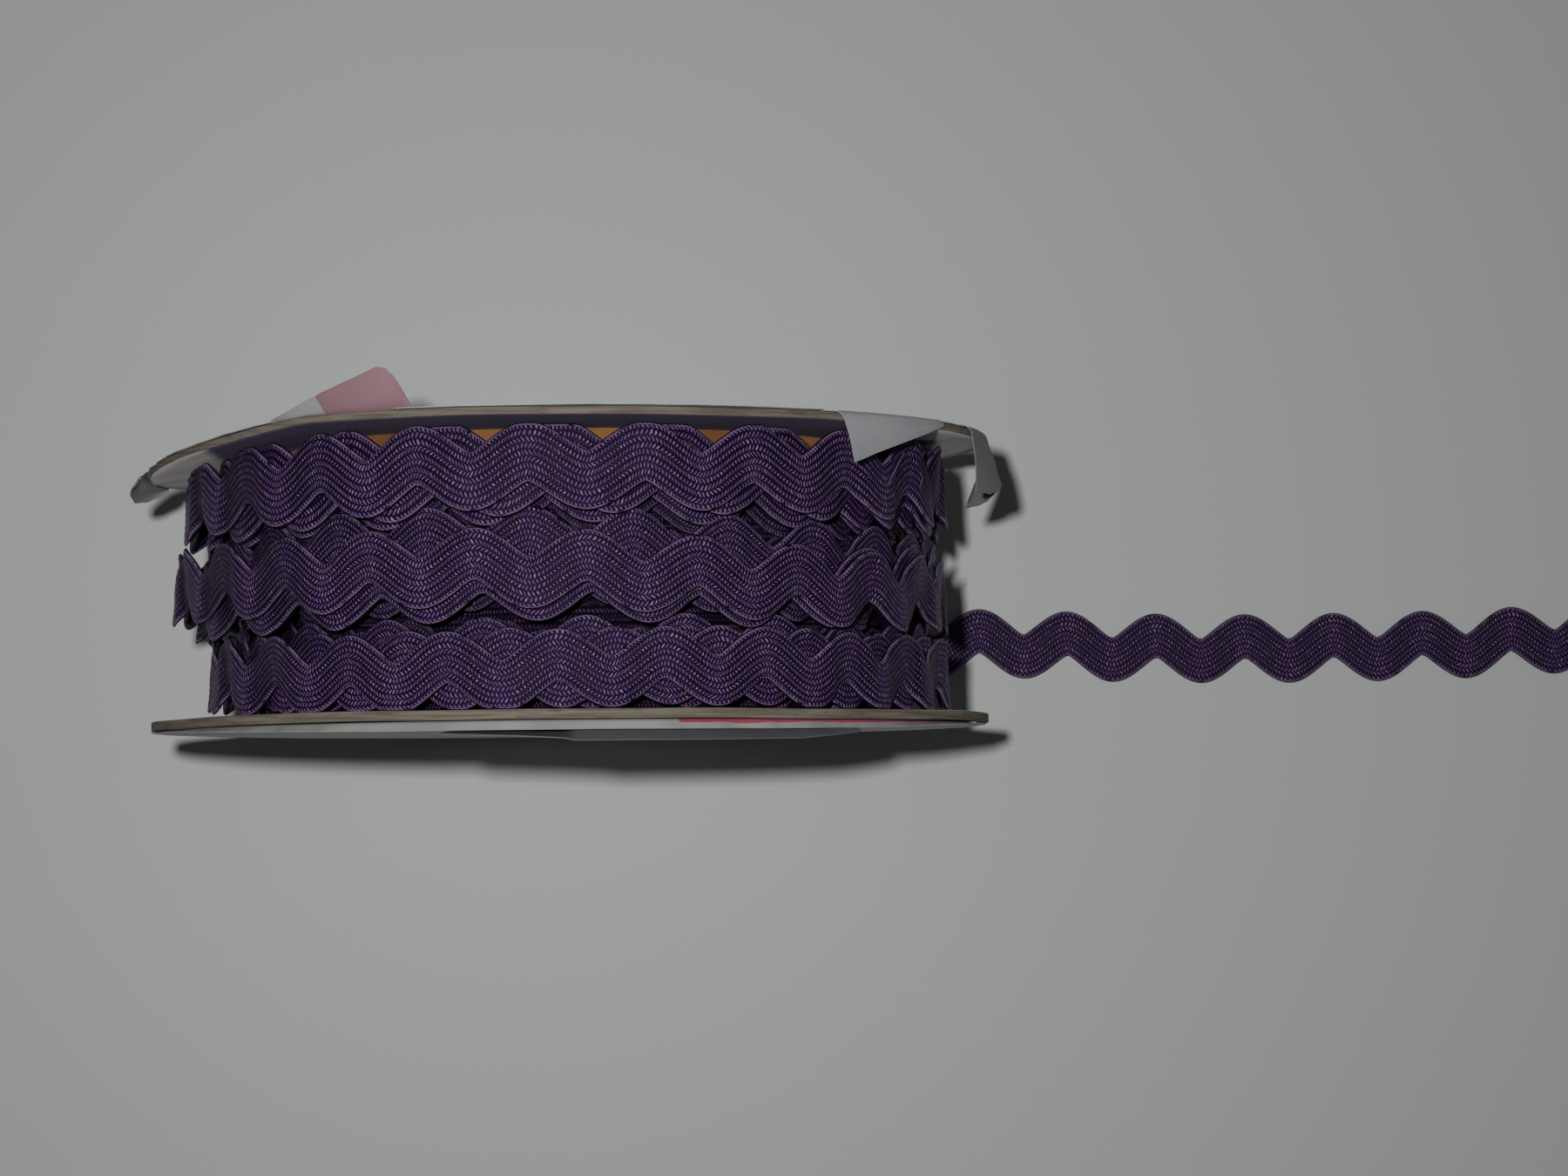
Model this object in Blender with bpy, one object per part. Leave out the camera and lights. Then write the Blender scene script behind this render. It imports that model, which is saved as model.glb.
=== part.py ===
"""A roll of ric rac on a cardboard spool that lies on the rims of its two discs, with a loose end on the table.

The spool's axis runs along Y. +X points along the loose end and +Z up. The origin is on the table, under the
middle of the whole object.
"""

import math

import bmesh
import bpy
import mathutils

MM = 0.001
TURN = 2.0 * math.pi

# Driving sizes, in millimetres
DISC_RADIUS = 55.6
DISC_THICKNESS = 1.2
DISC_INNER_GAP = 35.3
FLAT_HALF = 7.0
RIC_RAC_HALF_BAND = 3.18
RIC_RAC_WAVE = 1.84
RIC_RAC_THICKNESS = 1.0
WOUND_RADIUS = 50.0
PAPER_THICKNESS = 0.35
PAPER_RADIUS = 55.0
CLEARANCE = 0.3
TAIL_REACH = 149.0
TAIL_WAVE_LENGTH = 12.9
TAIL_FIRST_CREST = 57.0

# Places that follow from them
DISC_HALF_GAP = DISC_INNER_GAP / 2.0
DISC_OUTER = DISC_HALF_GAP + DISC_THICKNESS
AXIS_HEIGHT = math.sqrt(DISC_RADIUS**2 - FLAT_HALF**2)
PAPER_MIDDLE = DISC_OUTER + CLEARANCE + PAPER_THICKNESS / 2.0
PAPER_OVER_RIM = DISC_RADIUS + CLEARANCE + PAPER_THICKNESS / 2.0
LEFT_REACH = 58.4
NEAR_REACH = 21.6
FAR_REACH = 25.2
SPOOL_X = (LEFT_REACH - TAIL_REACH) / 2.0
SPOOL_Y = (NEAR_REACH - FAR_REACH) / 2.0

# How finely the round forms are stepped
DISC_STEPS = 90
WAVES_PER_TURN = 23
STEPS_PER_WAVE = 8
TAIL_STEPS_PER_WAVE = 10

# The rows of ric rac, from the near disc to the far one. Phase is in waves, drift is how far the row leans
# towards the far disc at the loose end's side, and left is how far its turns stand out on the other side.
ROWS = (
    {"name": "near", "centre": -12.8, "drift": 0.2, "phase": 0.75, "left": -2.3, "under_phase": 0.20},
    {"name": "middle", "centre": -1.3, "drift": -0.9, "phase": 0.375, "left": 2.0, "under_phase": 0.50},
    {"name": "far", "centre": 12.0, "drift": 0.1, "phase": 0.875, "left": 0.4, "under_phase": 0.35},
)
LEFT_SPREAD = math.radians(35.0)
STEP_TO_UNDER_TURN = 1.2
GROOVE_DEPTH = 3.0
FOOT_SET_OUT = 0.15
UNDER_SHIFT = 0.9
LEAST_RISE = 0.12
WAVE_ROUNDNESS = 1.15

# The far disc's bend: how far it leans inwards at each place left of the axis
FAR_BEND = (
    {"x": -55.6, "lean": 3.5},
    {"x": -53.0, "lean": 2.6},
    {"x": -50.0, "lean": 1.6},
    {"x": -46.0, "lean": 0.75},
    {"x": -42.0, "lean": 0.2},
    {"x": -38.0, "lean": 0.0},
)

# The loose end's middle line across the table, from the roll's underside to its cut
TAIL_ROUTE = (
    {"x": -3.0, "y": -12.1},
    {"x": 12.0, "y": -11.6},
    {"x": 30.0, "y": -9.6},
    {"x": 45.0, "y": -7.2},
    {"x": 57.0, "y": -6.3},
    {"x": 75.0, "y": -6.9},
    {"x": 96.0, "y": -7.0},
    {"x": 120.0, "y": -6.5},
    {"x": 135.0, "y": -5.9},
    {"x": 149.0, "y": -5.2},
)
TAIL_TOUCHES_TABLE = 34.0
TAIL_CORNER_SPREAD = 6.0
TAIL_CORNER_SAMPLES = 7

# Torn paper. Over-rim flaps: the paper runs past the rim at these angles and folds towards the winding.
# reach is measured from the paper's face along the axis, tip is the radius at its end, and slide is how far
# the end lies along X from where it crosses the rim.
TRIANGLE_FLAP = (
    {"angle": 52.0, "reach": 5.9, "tip": 54.4, "slide": 1.7},
    {"angle": 48.0, "reach": 5.5, "tip": 54.8, "slide": 0.8},
    {"angle": 44.0, "reach": 4.4, "tip": 55.2, "slide": 0.5},
    {"angle": 40.0, "reach": 3.3, "tip": 55.6, "slide": 0.3},
    {"angle": 36.0, "reach": 2.4, "tip": 56.0, "slide": 0.1},
    {"angle": 32.0, "reach": 1.8, "tip": 56.2, "slide": 0.0},
)
RIGHT_CURL = (
    {"angle": 16.0, "reach": 2.0, "tip": 56.6, "slide": 0.0},
    {"angle": 12.0, "reach": 4.4, "tip": 56.9, "slide": 0.0},
    {"angle": 8.0, "reach": 6.6, "tip": 56.8, "slide": 0.0},
    {"angle": 4.0, "reach": 8.2, "tip": 56.0, "slide": 0.0},
    {"angle": 0.0, "reach": 9.4, "tip": 53.6, "slide": 0.0},
    {"angle": -4.0, "reach": 7.6, "tip": 56.2, "slide": 0.0},
    {"angle": -8.0, "reach": 4.6, "tip": 56.9, "slide": 0.0},
    {"angle": -12.0, "reach": 2.2, "tip": 56.7, "slide": 0.0},
)
LEFT_CURL = (
    {"angle": 188.0, "reach": 1.9, "tip": 57.0, "slide": 0.0},
    {"angle": 184.0, "reach": 2.6, "tip": 58.0, "slide": 0.0},
    {"angle": 180.0, "reach": 3.0, "tip": 58.2, "slide": 0.0},
    {"angle": 176.0, "reach": 2.8, "tip": 57.8, "slide": 0.0},
    {"angle": 172.0, "reach": 2.0, "tip": 56.9, "slide": 0.0},
)
FLAP_FOLDS = 4
FLAP_BULGE = 0.5
FLAP_LIFT_AT_RIM = 0.1
FLAP_SHARE_OVER_RIM = 0.8

# Peeled paper: it stands off the disc between these angles, torn free at the angle given first
PINK_PEEL = (
    {"angle": 108.0, "stand_off": 5.6},
    {"angle": 112.0, "stand_off": 5.2},
    {"angle": 120.0, "stand_off": 2.7},
    {"angle": 128.0, "stand_off": 0.6},
)
GREY_PEEL = (
    {"angle": 88.0, "stand_off": 1.7},
    {"angle": 76.0, "stand_off": 2.0},
    {"angle": 60.0, "stand_off": 1.9},
    {"angle": 48.0, "stand_off": 0.4},
)
PEEL_ROOT_RADIUS = 49.0
PEEL_MIDDLE_RADIUS = 52.0
PAPER_INNER_RADIUS = 40.0
PAPER_DEGREES = 4
PEEL_SHARE_AT_MIDDLE = 0.42
PEEL_STEEPEST = 0.9

# Colours and finishes
FINISHES = {
    "ric_rac": {"colour": (0.045, 0.016, 0.085, 1.0), "roughness": 0.7},
    "cardboard": {"colour": (0.25, 0.17, 0.11, 1.0), "roughness": 0.9},
    "paper": {"colour": (0.62, 0.62, 0.65, 1.0), "roughness": 0.75},
}


def clear_scene():
    for thing in list(bpy.data.objects):
        bpy.data.objects.remove(thing, do_unlink=True)


def finish(name):
    if name in bpy.data.materials:
        return bpy.data.materials[name]
    material = bpy.data.materials.new(name)
    material.use_nodes = True
    shader = material.node_tree.nodes["Principled BSDF"]
    shader.inputs["Base Color"].default_value = FINISHES[name]["colour"]
    shader.inputs["Roughness"].default_value = FINISHES[name]["roughness"]
    shader.inputs["Metallic"].default_value = 0.0
    return material


def spool_empty():
    spool = bpy.data.objects.new("spool_axis", None)
    spool.location = (SPOOL_X * MM, SPOOL_Y * MM, AXIS_HEIGHT * MM)
    bpy.context.collection.objects.link(spool)
    return spool


def add_object(name, bm, finish_name, parent, sharp_degrees=30.0):
    """Turn the mesh into a named object under the spool's axis, in metres."""
    bmesh.ops.recalc_face_normals(bm, faces=bm.faces)
    bmesh.ops.scale(bm, vec=(MM, MM, MM), verts=bm.verts)
    mesh = bpy.data.meshes.new(name)
    bm.to_mesh(mesh)
    bm.free()
    mesh.shade_smooth()
    mesh.set_sharp_from_angle(angle=math.radians(sharp_degrees))
    mesh.materials.append(finish(finish_name))
    thing = bpy.data.objects.new(name, mesh)
    thing.parent = parent
    bpy.context.collection.objects.link(thing)
    return thing


def read_table(rows, column, value, answer):
    """The answer column of a table, read on a straight line between its rows."""
    ordered = sorted(rows, key=lambda row: row[column])
    if value <= ordered[0][column]:
        return ordered[0][answer]
    for low, high in zip(ordered, ordered[1:]):
        if value <= high[column]:
            share = (value - low[column]) / (high[column] - low[column])
            return low[answer] + share * (high[answer] - low[answer])
    return ordered[-1][answer]


def smooth_step(share):
    share = min(max(share, 0.0), 1.0)
    return share * share * (3.0 - 2.0 * share)


def crest_wave(phase):
    """One ric rac edge: a wide round crest at phase 0 and a sharp notch half a wave on, from 1 to -1."""
    return 2.0 * abs(math.cos(phase / 2.0)) ** WAVE_ROUNDNESS - 1.0


def band_edges(phase):
    """The lower and upper edge of the ric rac band about its middle line."""
    upper = RIC_RAC_HALF_BAND + RIC_RAC_WAVE * crest_wave(phase)
    lower = -RIC_RAC_HALF_BAND - RIC_RAC_WAVE * crest_wave(phase + math.pi)
    return lower, upper


def far_lean(x):
    return read_table(FAR_BEND, "x", x, "lean")


# The winding

def wound_radius(row, angle):
    off_left = (angle - math.pi) / LEFT_SPREAD
    return WOUND_RADIUS + row["left"] * math.exp(-off_left * off_left)


def row_profile(row, angle):
    """One row of ric rac cut at an angle: (along the axis, radius) from its lower side to its upper side."""
    centre = row["centre"] + row["drift"] * math.cos(angle)
    phase = WAVES_PER_TURN * angle - row["phase"] * TURN
    under_phase = phase + row["under_phase"] * TURN
    lower, upper = band_edges(phase)
    under_lower, under_upper = band_edges(under_phase)
    top = wound_radius(row, angle)
    under = top - STEP_TO_UNDER_TURN
    lower_foot = lower - FOOT_SET_OUT
    upper_foot = upper + FOOT_SET_OUT
    under_low_edge = min(lower_foot - FOOT_SET_OUT, under_lower - UNDER_SHIFT)
    under_high_edge = max(upper_foot + FOOT_SET_OUT, under_upper)
    return [
        (centre + under_low_edge, under),
        (centre + lower_foot, under),
        (centre + lower, top),
        (centre + upper, top),
        (centre + upper_foot, under),
        (centre + under_high_edge, under),
    ]


def keep_rising(places, lowest, highest):
    """Push places along the axis apart, so that each stands above the one before it."""
    rising = list(places)
    rising[0] = max(rising[0], lowest)
    for index in range(1, len(rising)):
        rising[index] = max(rising[index], rising[index - 1] + LEAST_RISE)
    rising[-1] = min(rising[-1], highest)
    for index in range(len(rising) - 2, -1, -1):
        rising[index] = min(rising[index], rising[index + 1] - LEAST_RISE)
    return rising


def winding_profile(angle):
    """The whole winding cut at an angle, from the near disc to the far one."""
    groove = wound_radius(ROWS[1], angle) - GROOVE_DEPTH
    near_end = -DISC_HALF_GAP + CLEARANCE
    far_end = DISC_HALF_GAP - CLEARANCE - far_lean(groove * math.cos(angle))
    profile = []
    for row in ROWS:
        section = row_profile(row, angle)
        if profile:
            middle = (profile[-1][0] + section[0][0]) / 2.0
            profile.append((middle, groove))
        profile.extend(section)
    places = keep_rising(
        [place for place, _ in profile], near_end + LEAST_RISE, far_end - 2.0 * LEAST_RISE
    )
    radii = [radius for _, radius in profile]
    rim = [(near_end, groove)]
    rim.extend(zip(places, radii))
    rim.append((far_end, groove))
    return rim


def skin(bm, rings):
    """Quads between neighbouring closed rings that have the same number of points."""
    for low, high in zip(rings, rings[1:]):
        count = len(low)
        for index in range(count):
            after = (index + 1) % count
            bm.faces.new((low[index], low[after], high[after], high[index]))


def build_winding(spool):
    bm = bmesh.new()
    steps = WAVES_PER_TURN * STEPS_PER_WAVE
    angles = [TURN * step / steps for step in range(steps)]
    profiles = [winding_profile(angle) for angle in angles]
    rings = []
    for level in range(len(profiles[0])):
        ring = []
        for angle, profile in zip(angles, profiles):
            along, radius = profile[level]
            ring.append(bm.verts.new((radius * math.cos(angle), along, radius * math.sin(angle))))
        rings.append(ring)
    skin(bm, rings)
    close_near_end(bm, rings[0])
    close_far_end(bm, rings[-1])
    return add_object("winding", bm, "ric_rac", spool)


def close_near_end(bm, ring):
    middle = bm.verts.new((0.0, -DISC_HALF_GAP + CLEARANCE, 0.0))
    close_with_fan(bm, ring, middle)


def close_far_end(bm, ring):
    """The far end follows the bent disc, so it has one more ring where the bend starts."""
    inner_radius = -FAR_BEND[-1]["x"]
    inner = []
    for rim_point in ring:
        share = inner_radius / math.hypot(rim_point.co.x, rim_point.co.z)
        place = (rim_point.co.x * share, DISC_HALF_GAP - CLEARANCE, rim_point.co.z * share)
        inner.append(bm.verts.new(place))
    skin(bm, [ring, inner])
    middle = bm.verts.new((0.0, DISC_HALF_GAP - CLEARANCE, 0.0))
    close_with_fan(bm, inner, middle)


def close_with_fan(bm, ring, middle):
    for index, point in enumerate(ring):
        bm.faces.new((point, ring[(index + 1) % len(ring)], middle))


# The loose end

def tail_middle(x):
    """The loose end's middle line, with its corners rounded by averaging over a short stretch."""
    total = 0.0
    for index in range(TAIL_CORNER_SAMPLES):
        offset = TAIL_CORNER_SPREAD * (2.0 * index / (TAIL_CORNER_SAMPLES - 1) - 1.0)
        total += read_table(TAIL_ROUTE, "x", x + offset, "y")
    return total / TAIL_CORNER_SAMPLES


def tail_underside(x):
    """Height of the loose end's lower face over the table."""
    lift = AXIS_HEIGHT - WOUND_RADIUS - CLEARANCE - RIC_RAC_THICKNESS
    return lift * (1.0 - smooth_step(x / TAIL_TOUCHES_TABLE))


def build_tail(spool):
    bm = bmesh.new()
    start = TAIL_ROUTE[0]["x"]
    step = TAIL_WAVE_LENGTH / TAIL_STEPS_PER_WAVE
    first = math.ceil((start - TAIL_FIRST_CREST) / step)
    last = math.floor((TAIL_REACH - TAIL_FIRST_CREST) / step)
    stations = [TAIL_FIRST_CREST + step * index for index in range(first, last + 1)]
    stations[0] = start
    stations[-1] = TAIL_REACH
    rings = []
    for x in stations:
        phase = TURN * (x - TAIL_FIRST_CREST) / TAIL_WAVE_LENGTH
        lower, upper = band_edges(phase)
        middle = tail_middle(x)
        bottom = tail_underside(x) - AXIS_HEIGHT
        top = bottom + RIC_RAC_THICKNESS
        corners = (
            (x, middle + lower, bottom),
            (x, middle + upper, bottom),
            (x, middle + upper, top),
            (x, middle + lower, top),
        )
        rings.append([bm.verts.new(corner) for corner in corners])
    skin(bm, rings)
    bm.faces.new(rings[0])
    bm.faces.new(rings[-1])
    return add_object("tail", bm, "ric_rac", spool)


# The cardboard discs

def disc_slab(bm, low, high):
    """A disc between two places along the axis, with its small flat spot on the table."""
    made = bmesh.ops.create_circle(bm, cap_ends=True, radius=DISC_RADIUS, segments=DISC_STEPS)
    upright = mathutils.Matrix.Rotation(math.radians(90.0), 3, "X")
    bmesh.ops.rotate(bm, verts=made["verts"], cent=(0, 0, 0), matrix=upright)
    bmesh.ops.translate(bm, verts=made["verts"], vec=(0, low, 0))
    floor = -AXIS_HEIGHT
    for point in made["verts"]:
        point.co.z = max(point.co.z, floor)
    grown = bmesh.ops.extrude_face_region(bm, geom=bm.faces[:])
    moved = [item for item in grown["geom"] if isinstance(item, bmesh.types.BMVert)]
    bmesh.ops.translate(bm, verts=moved, vec=(0, high - low, 0))


def square_the_flat_spot(bm):
    """Give the flat spot its corners exactly where the rim's circle meets the table."""
    floor = -AXIS_HEIGHT
    for side in (-1.0, 1.0):
        rim = [v for v in bm.verts if v.co.x * side > 0.0 and abs(v.co.z - floor) < 0.01]
        outermost = max(abs(v.co.x) for v in rim)
        for point in rim:
            if abs(abs(point.co.x) - outermost) < 0.01:
                point.co.x = side * FLAT_HALF


def build_near_disc(spool):
    bm = bmesh.new()
    disc_slab(bm, -DISC_OUTER, -DISC_HALF_GAP)
    square_the_flat_spot(bm)
    return add_object("flange_near", bm, "cardboard", spool)


def build_far_disc(spool):
    """The far disc, cut into upright strips at its left end and leaned inwards strip by strip."""
    bm = bmesh.new()
    disc_slab(bm, DISC_HALF_GAP, DISC_OUTER)
    square_the_flat_spot(bm)
    for row in FAR_BEND[1:]:
        everything = bm.verts[:] + bm.edges[:] + bm.faces[:]
        bmesh.ops.bisect_plane(
            bm, geom=everything, dist=0.0001, plane_co=(row["x"], 0, 0), plane_no=(1, 0, 0)
        )
    for point in bm.verts:
        point.co.y -= far_lean(point.co.x)
    return add_object("flange_far", bm, "cardboard", spool)


# The paper labels

class PaperSheet:
    """A round sheet of paper as a net of points: rings inside, and columns of their own length outside."""

    def __init__(self, outward):
        self.bm = bmesh.new()
        self.outward = outward
        self.angles = [math.radians(degrees) for degrees in range(0, 360, PAPER_DEGREES)]

    def point(self, angle, radius, stand_off=0.0, slide=0.0):
        x = radius * math.cos(angle) + slide
        z = max(radius * math.sin(angle), -AXIS_HEIGHT + CLEARANCE)
        along = PAPER_MIDDLE + stand_off
        if self.outward > 0:
            along -= far_lean(x)
        return self.bm.verts.new((x, along * self.outward, z))

    def inside(self):
        rings = []
        for radius in (PAPER_INNER_RADIUS, PEEL_ROOT_RADIUS):
            rings.append([self.point(angle, radius) for angle in self.angles])
        skin(self.bm, rings)
        close_with_fan(self.bm, rings[0], self.point(0.0, 0.0))
        return rings[-1]

    def join(self, column, after):
        """Faces between two neighbouring columns, as far as both reach."""
        for level in range(min(len(column), len(after)) - 1):
            corners = (column[level], after[level], after[level + 1], column[level + 1])
            self.bm.faces.new(corners)


def plain_column(sheet, root, angle):
    return [root, sheet.point(angle, PEEL_MIDDLE_RADIUS), sheet.point(angle, PAPER_RADIUS)]


def peeled_column(sheet, root, angle, stand_off):
    """Paper that stands off the disc keeps its length, so its edge comes in towards the axis."""
    column = [root]
    for radius, share in ((PEEL_MIDDLE_RADIUS, PEEL_SHARE_AT_MIDDLE), (PAPER_RADIUS, 1.0)):
        length = radius - PEEL_ROOT_RADIUS
        away = stand_off * share
        drawn_in = math.sqrt(length**2 - min(away, PEEL_STEEPEST * length) ** 2)
        column.append(sheet.point(angle, PEEL_ROOT_RADIUS + drawn_in, away))
    return column


def flap_column(sheet, root, angle, row):
    """Paper that runs on over the rim and then towards the winding."""
    column = plain_column(sheet, root, angle)
    column.append(sheet.point(angle, PAPER_OVER_RIM, -FLAP_LIFT_AT_RIM))
    over = DISC_THICKNESS + CLEARANCE + PAPER_THICKNESS
    start = min(over, FLAP_SHARE_OVER_RIM * row["reach"])
    for fold in range(FLAP_FOLDS):
        share = fold / (FLAP_FOLDS - 1)
        reach = start + (row["reach"] - start) * share
        radius = PAPER_OVER_RIM + (row["tip"] - PAPER_OVER_RIM) * share
        bulge = FLAP_BULGE * math.sin(math.pi * share)
        column.append(sheet.point(angle, radius + bulge, -reach, row["slide"] * share))
    return column


def flap_row(flaps, degrees):
    """The row of a flap's table at this angle, where the paper has one."""
    for flap in flaps:
        for row in flap:
            if abs(math.remainder(row["angle"] - degrees, 360.0)) < PAPER_DEGREES / 2.0:
                return row
    return None


def is_peeled(peel, degrees):
    ends = (peel[0]["angle"], peel[-1]["angle"])
    return min(ends) <= degrees <= max(ends)


def build_label(name, outward, peel, flaps, spool):
    """One paper label: columns run on from the inner rings, each plain, peeled or folded over the rim."""
    sheet = PaperSheet(outward)
    roots = sheet.inside()
    onward = []
    backward = []
    for root, angle, degrees in zip(roots, sheet.angles, range(0, 360, PAPER_DEGREES)):
        flap = flap_row(flaps, degrees)
        if is_peeled(peel, degrees):
            stand_off = read_table(peel, "angle", degrees, "stand_off")
            column = peeled_column(sheet, root, angle, stand_off)
        elif flap:
            column = flap_column(sheet, root, angle, flap)
        else:
            column = plain_column(sheet, root, angle)
        onward.append(column)
        backward.append(column)
        if degrees == peel[0]["angle"]:
            torn_side = backward if peel[0]["angle"] < peel[-1]["angle"] else onward
            torn_side[-1] = plain_column(sheet, root, angle)
    count = len(onward)
    for index in range(count):
        sheet.join(onward[index], backward[(index + 1) % count])
    label = add_object(name, sheet.bm, "paper", spool, sharp_degrees=50.0)
    thicken = label.modifiers.new("paper thickness", "SOLIDIFY")
    thicken.thickness = PAPER_THICKNESS * MM
    thicken.offset = 0.0
    return label


def build():
    clear_scene()
    spool = spool_empty()
    build_winding(spool)
    build_tail(spool)
    build_near_disc(spool)
    build_far_disc(spool)
    build_label("label_near", -1.0, GREY_PEEL, (), spool)
    build_label("label_far", 1.0, PINK_PEEL, (TRIANGLE_FLAP, RIGHT_CURL, LEFT_CURL), spool)


build()
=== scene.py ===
"""A roll of ric rac on a cardboard spool, with its loose end on the table: braid, board and torn paper.

Lengths are in millimetres from the spool's axis (x), from the middle between its discs (y) and from the
table (z), and become metres in the shared frame when a piece is made. Angles go round the spool from the
loose end's side over the top.
"""

import math

import bpy
import numpy as np
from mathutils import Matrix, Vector


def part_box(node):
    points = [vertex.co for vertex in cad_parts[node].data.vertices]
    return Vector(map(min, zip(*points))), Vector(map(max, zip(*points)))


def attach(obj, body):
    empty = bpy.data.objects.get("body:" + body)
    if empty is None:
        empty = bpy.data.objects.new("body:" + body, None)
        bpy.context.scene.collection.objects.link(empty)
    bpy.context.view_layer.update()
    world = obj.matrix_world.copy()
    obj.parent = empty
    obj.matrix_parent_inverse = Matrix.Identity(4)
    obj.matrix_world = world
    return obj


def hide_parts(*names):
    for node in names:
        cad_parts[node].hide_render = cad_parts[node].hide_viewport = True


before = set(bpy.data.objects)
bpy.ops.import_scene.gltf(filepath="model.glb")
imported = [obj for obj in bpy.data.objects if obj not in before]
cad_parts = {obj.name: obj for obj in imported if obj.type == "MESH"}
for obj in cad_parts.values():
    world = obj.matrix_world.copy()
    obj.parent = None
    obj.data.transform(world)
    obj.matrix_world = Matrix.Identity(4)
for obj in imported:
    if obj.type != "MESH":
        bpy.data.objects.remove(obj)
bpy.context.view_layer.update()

MM = 0.001
TURN = 2.0 * math.pi
TOP = 90.0

# The spool, from the frame
near_low, near_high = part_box("flange_near")
DISC_RADIUS = 55.6
DISC_THICKNESS = (near_high.y - near_low.y) / MM
DISC_HALF_GAP = 17.65
AXIS_HEIGHT = near_high.z / MM - DISC_RADIUS
SPOOL_X = (near_low.x + near_high.x) / 2.0 / MM
SPOOL_Y = near_high.y / MM + DISC_HALF_GAP
DISC_OUTER = DISC_HALF_GAP + DISC_THICKNESS

# The ric rac: a flat braid that waves from side to side
HALF_BAND = 3.18
WAVE = 1.84
EDGE_ROUNDNESS = 1.2
INNER_ROUNDNESS = 1.7
FAN = 0.2
THICKNESS = 1.0
RIBS = 9
RIB_SHARE = 0.1
SECTION_FULLNESS = 6
STITCH = 0.5
MAP_START = 400.0

# Yarn colours, as the shader wants them
BLUISH_YARN = (0.165, 0.102, 0.385, 1.0)
REDDISH_YARN = (0.320, 0.147, 0.415, 1.0)
PAINTED_GLINT_YARN = (0.42, 0.275, 0.55, 1.0)
SELVEDGE_HIGHLIGHT = (0.30, 0.215, 0.375, 1.0)
# The braid's dark inner yarn with painted shade, between the stitches and along the edges
INNER_YARN_IN_PAINTED_SHADE = (0.010, 0.004, 0.017, 1.0)
PAINTED_DEEP_SHADE = (0.005, 0.003, 0.009, 1.0)
FIBRE_COLOUR = (0.28, 0.24, 0.32, 1.0)
# The lining's colour in painted shade
LINING_IN_PAINTED_SHADE = (0.105, 0.088, 0.140, 1.0)

# The winding
WOUND_RADIUS = 49.5
TURN_PITCH = 1.65
WOUND_THICKNESS = 1.0
SAMPLES_PER_WAVE = 18
CORE_RADIUS = 40.5
CORE_SHIFT = 1.5
LEFT = 180.0
LEFT_SPREAD = 35.0
RIGHT_SPREAD = 40.0
STEP_DOWN_START = 0.35
STEP_DOWN_SHARE = 0.30
# Painted shade, 0 to 1, on each turn from the outermost inwards, its greatest amount, and the core's
TURN_SHADE = (0.0, 0.05, 0.12, 0.3, 0.5)
DEEPEST_SHADE = 0.9
CORE_SHADE = 0.8
CORE_STRAND = 2.1
CORE_RIDGES = 23.0
FAR_DISC_GAP = 0.28
NEAR_DISC_GAP = 0.2
SWING_UNEVEN = 0.06
RIPPLE = 0.08
END_RIPPLE_OUT = 0.3
END_RIPPLE_IN = 0.75

# Amounts everywhere on the roll, and what its left and its right end add
PHASE_UNEVEN = (0.035, 0.0, 0.06)
MIDDLE_UNEVEN = (0.12, 0.0, 0.4)
RADIUS_UNEVEN = (0.08, 0.35, 0.25)
EDGE_LIFT = (0.16, 0.45, 0.45)
# End shade is painted shade on the flanks of each wave that turn away from the light
END_SHADE = (0.0, 0.85, 0.25)


def rows_of(names, *rows):
    """A table whose rows give the named values."""
    return tuple(dict(zip(names.split(), row)) for row in rows)


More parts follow.
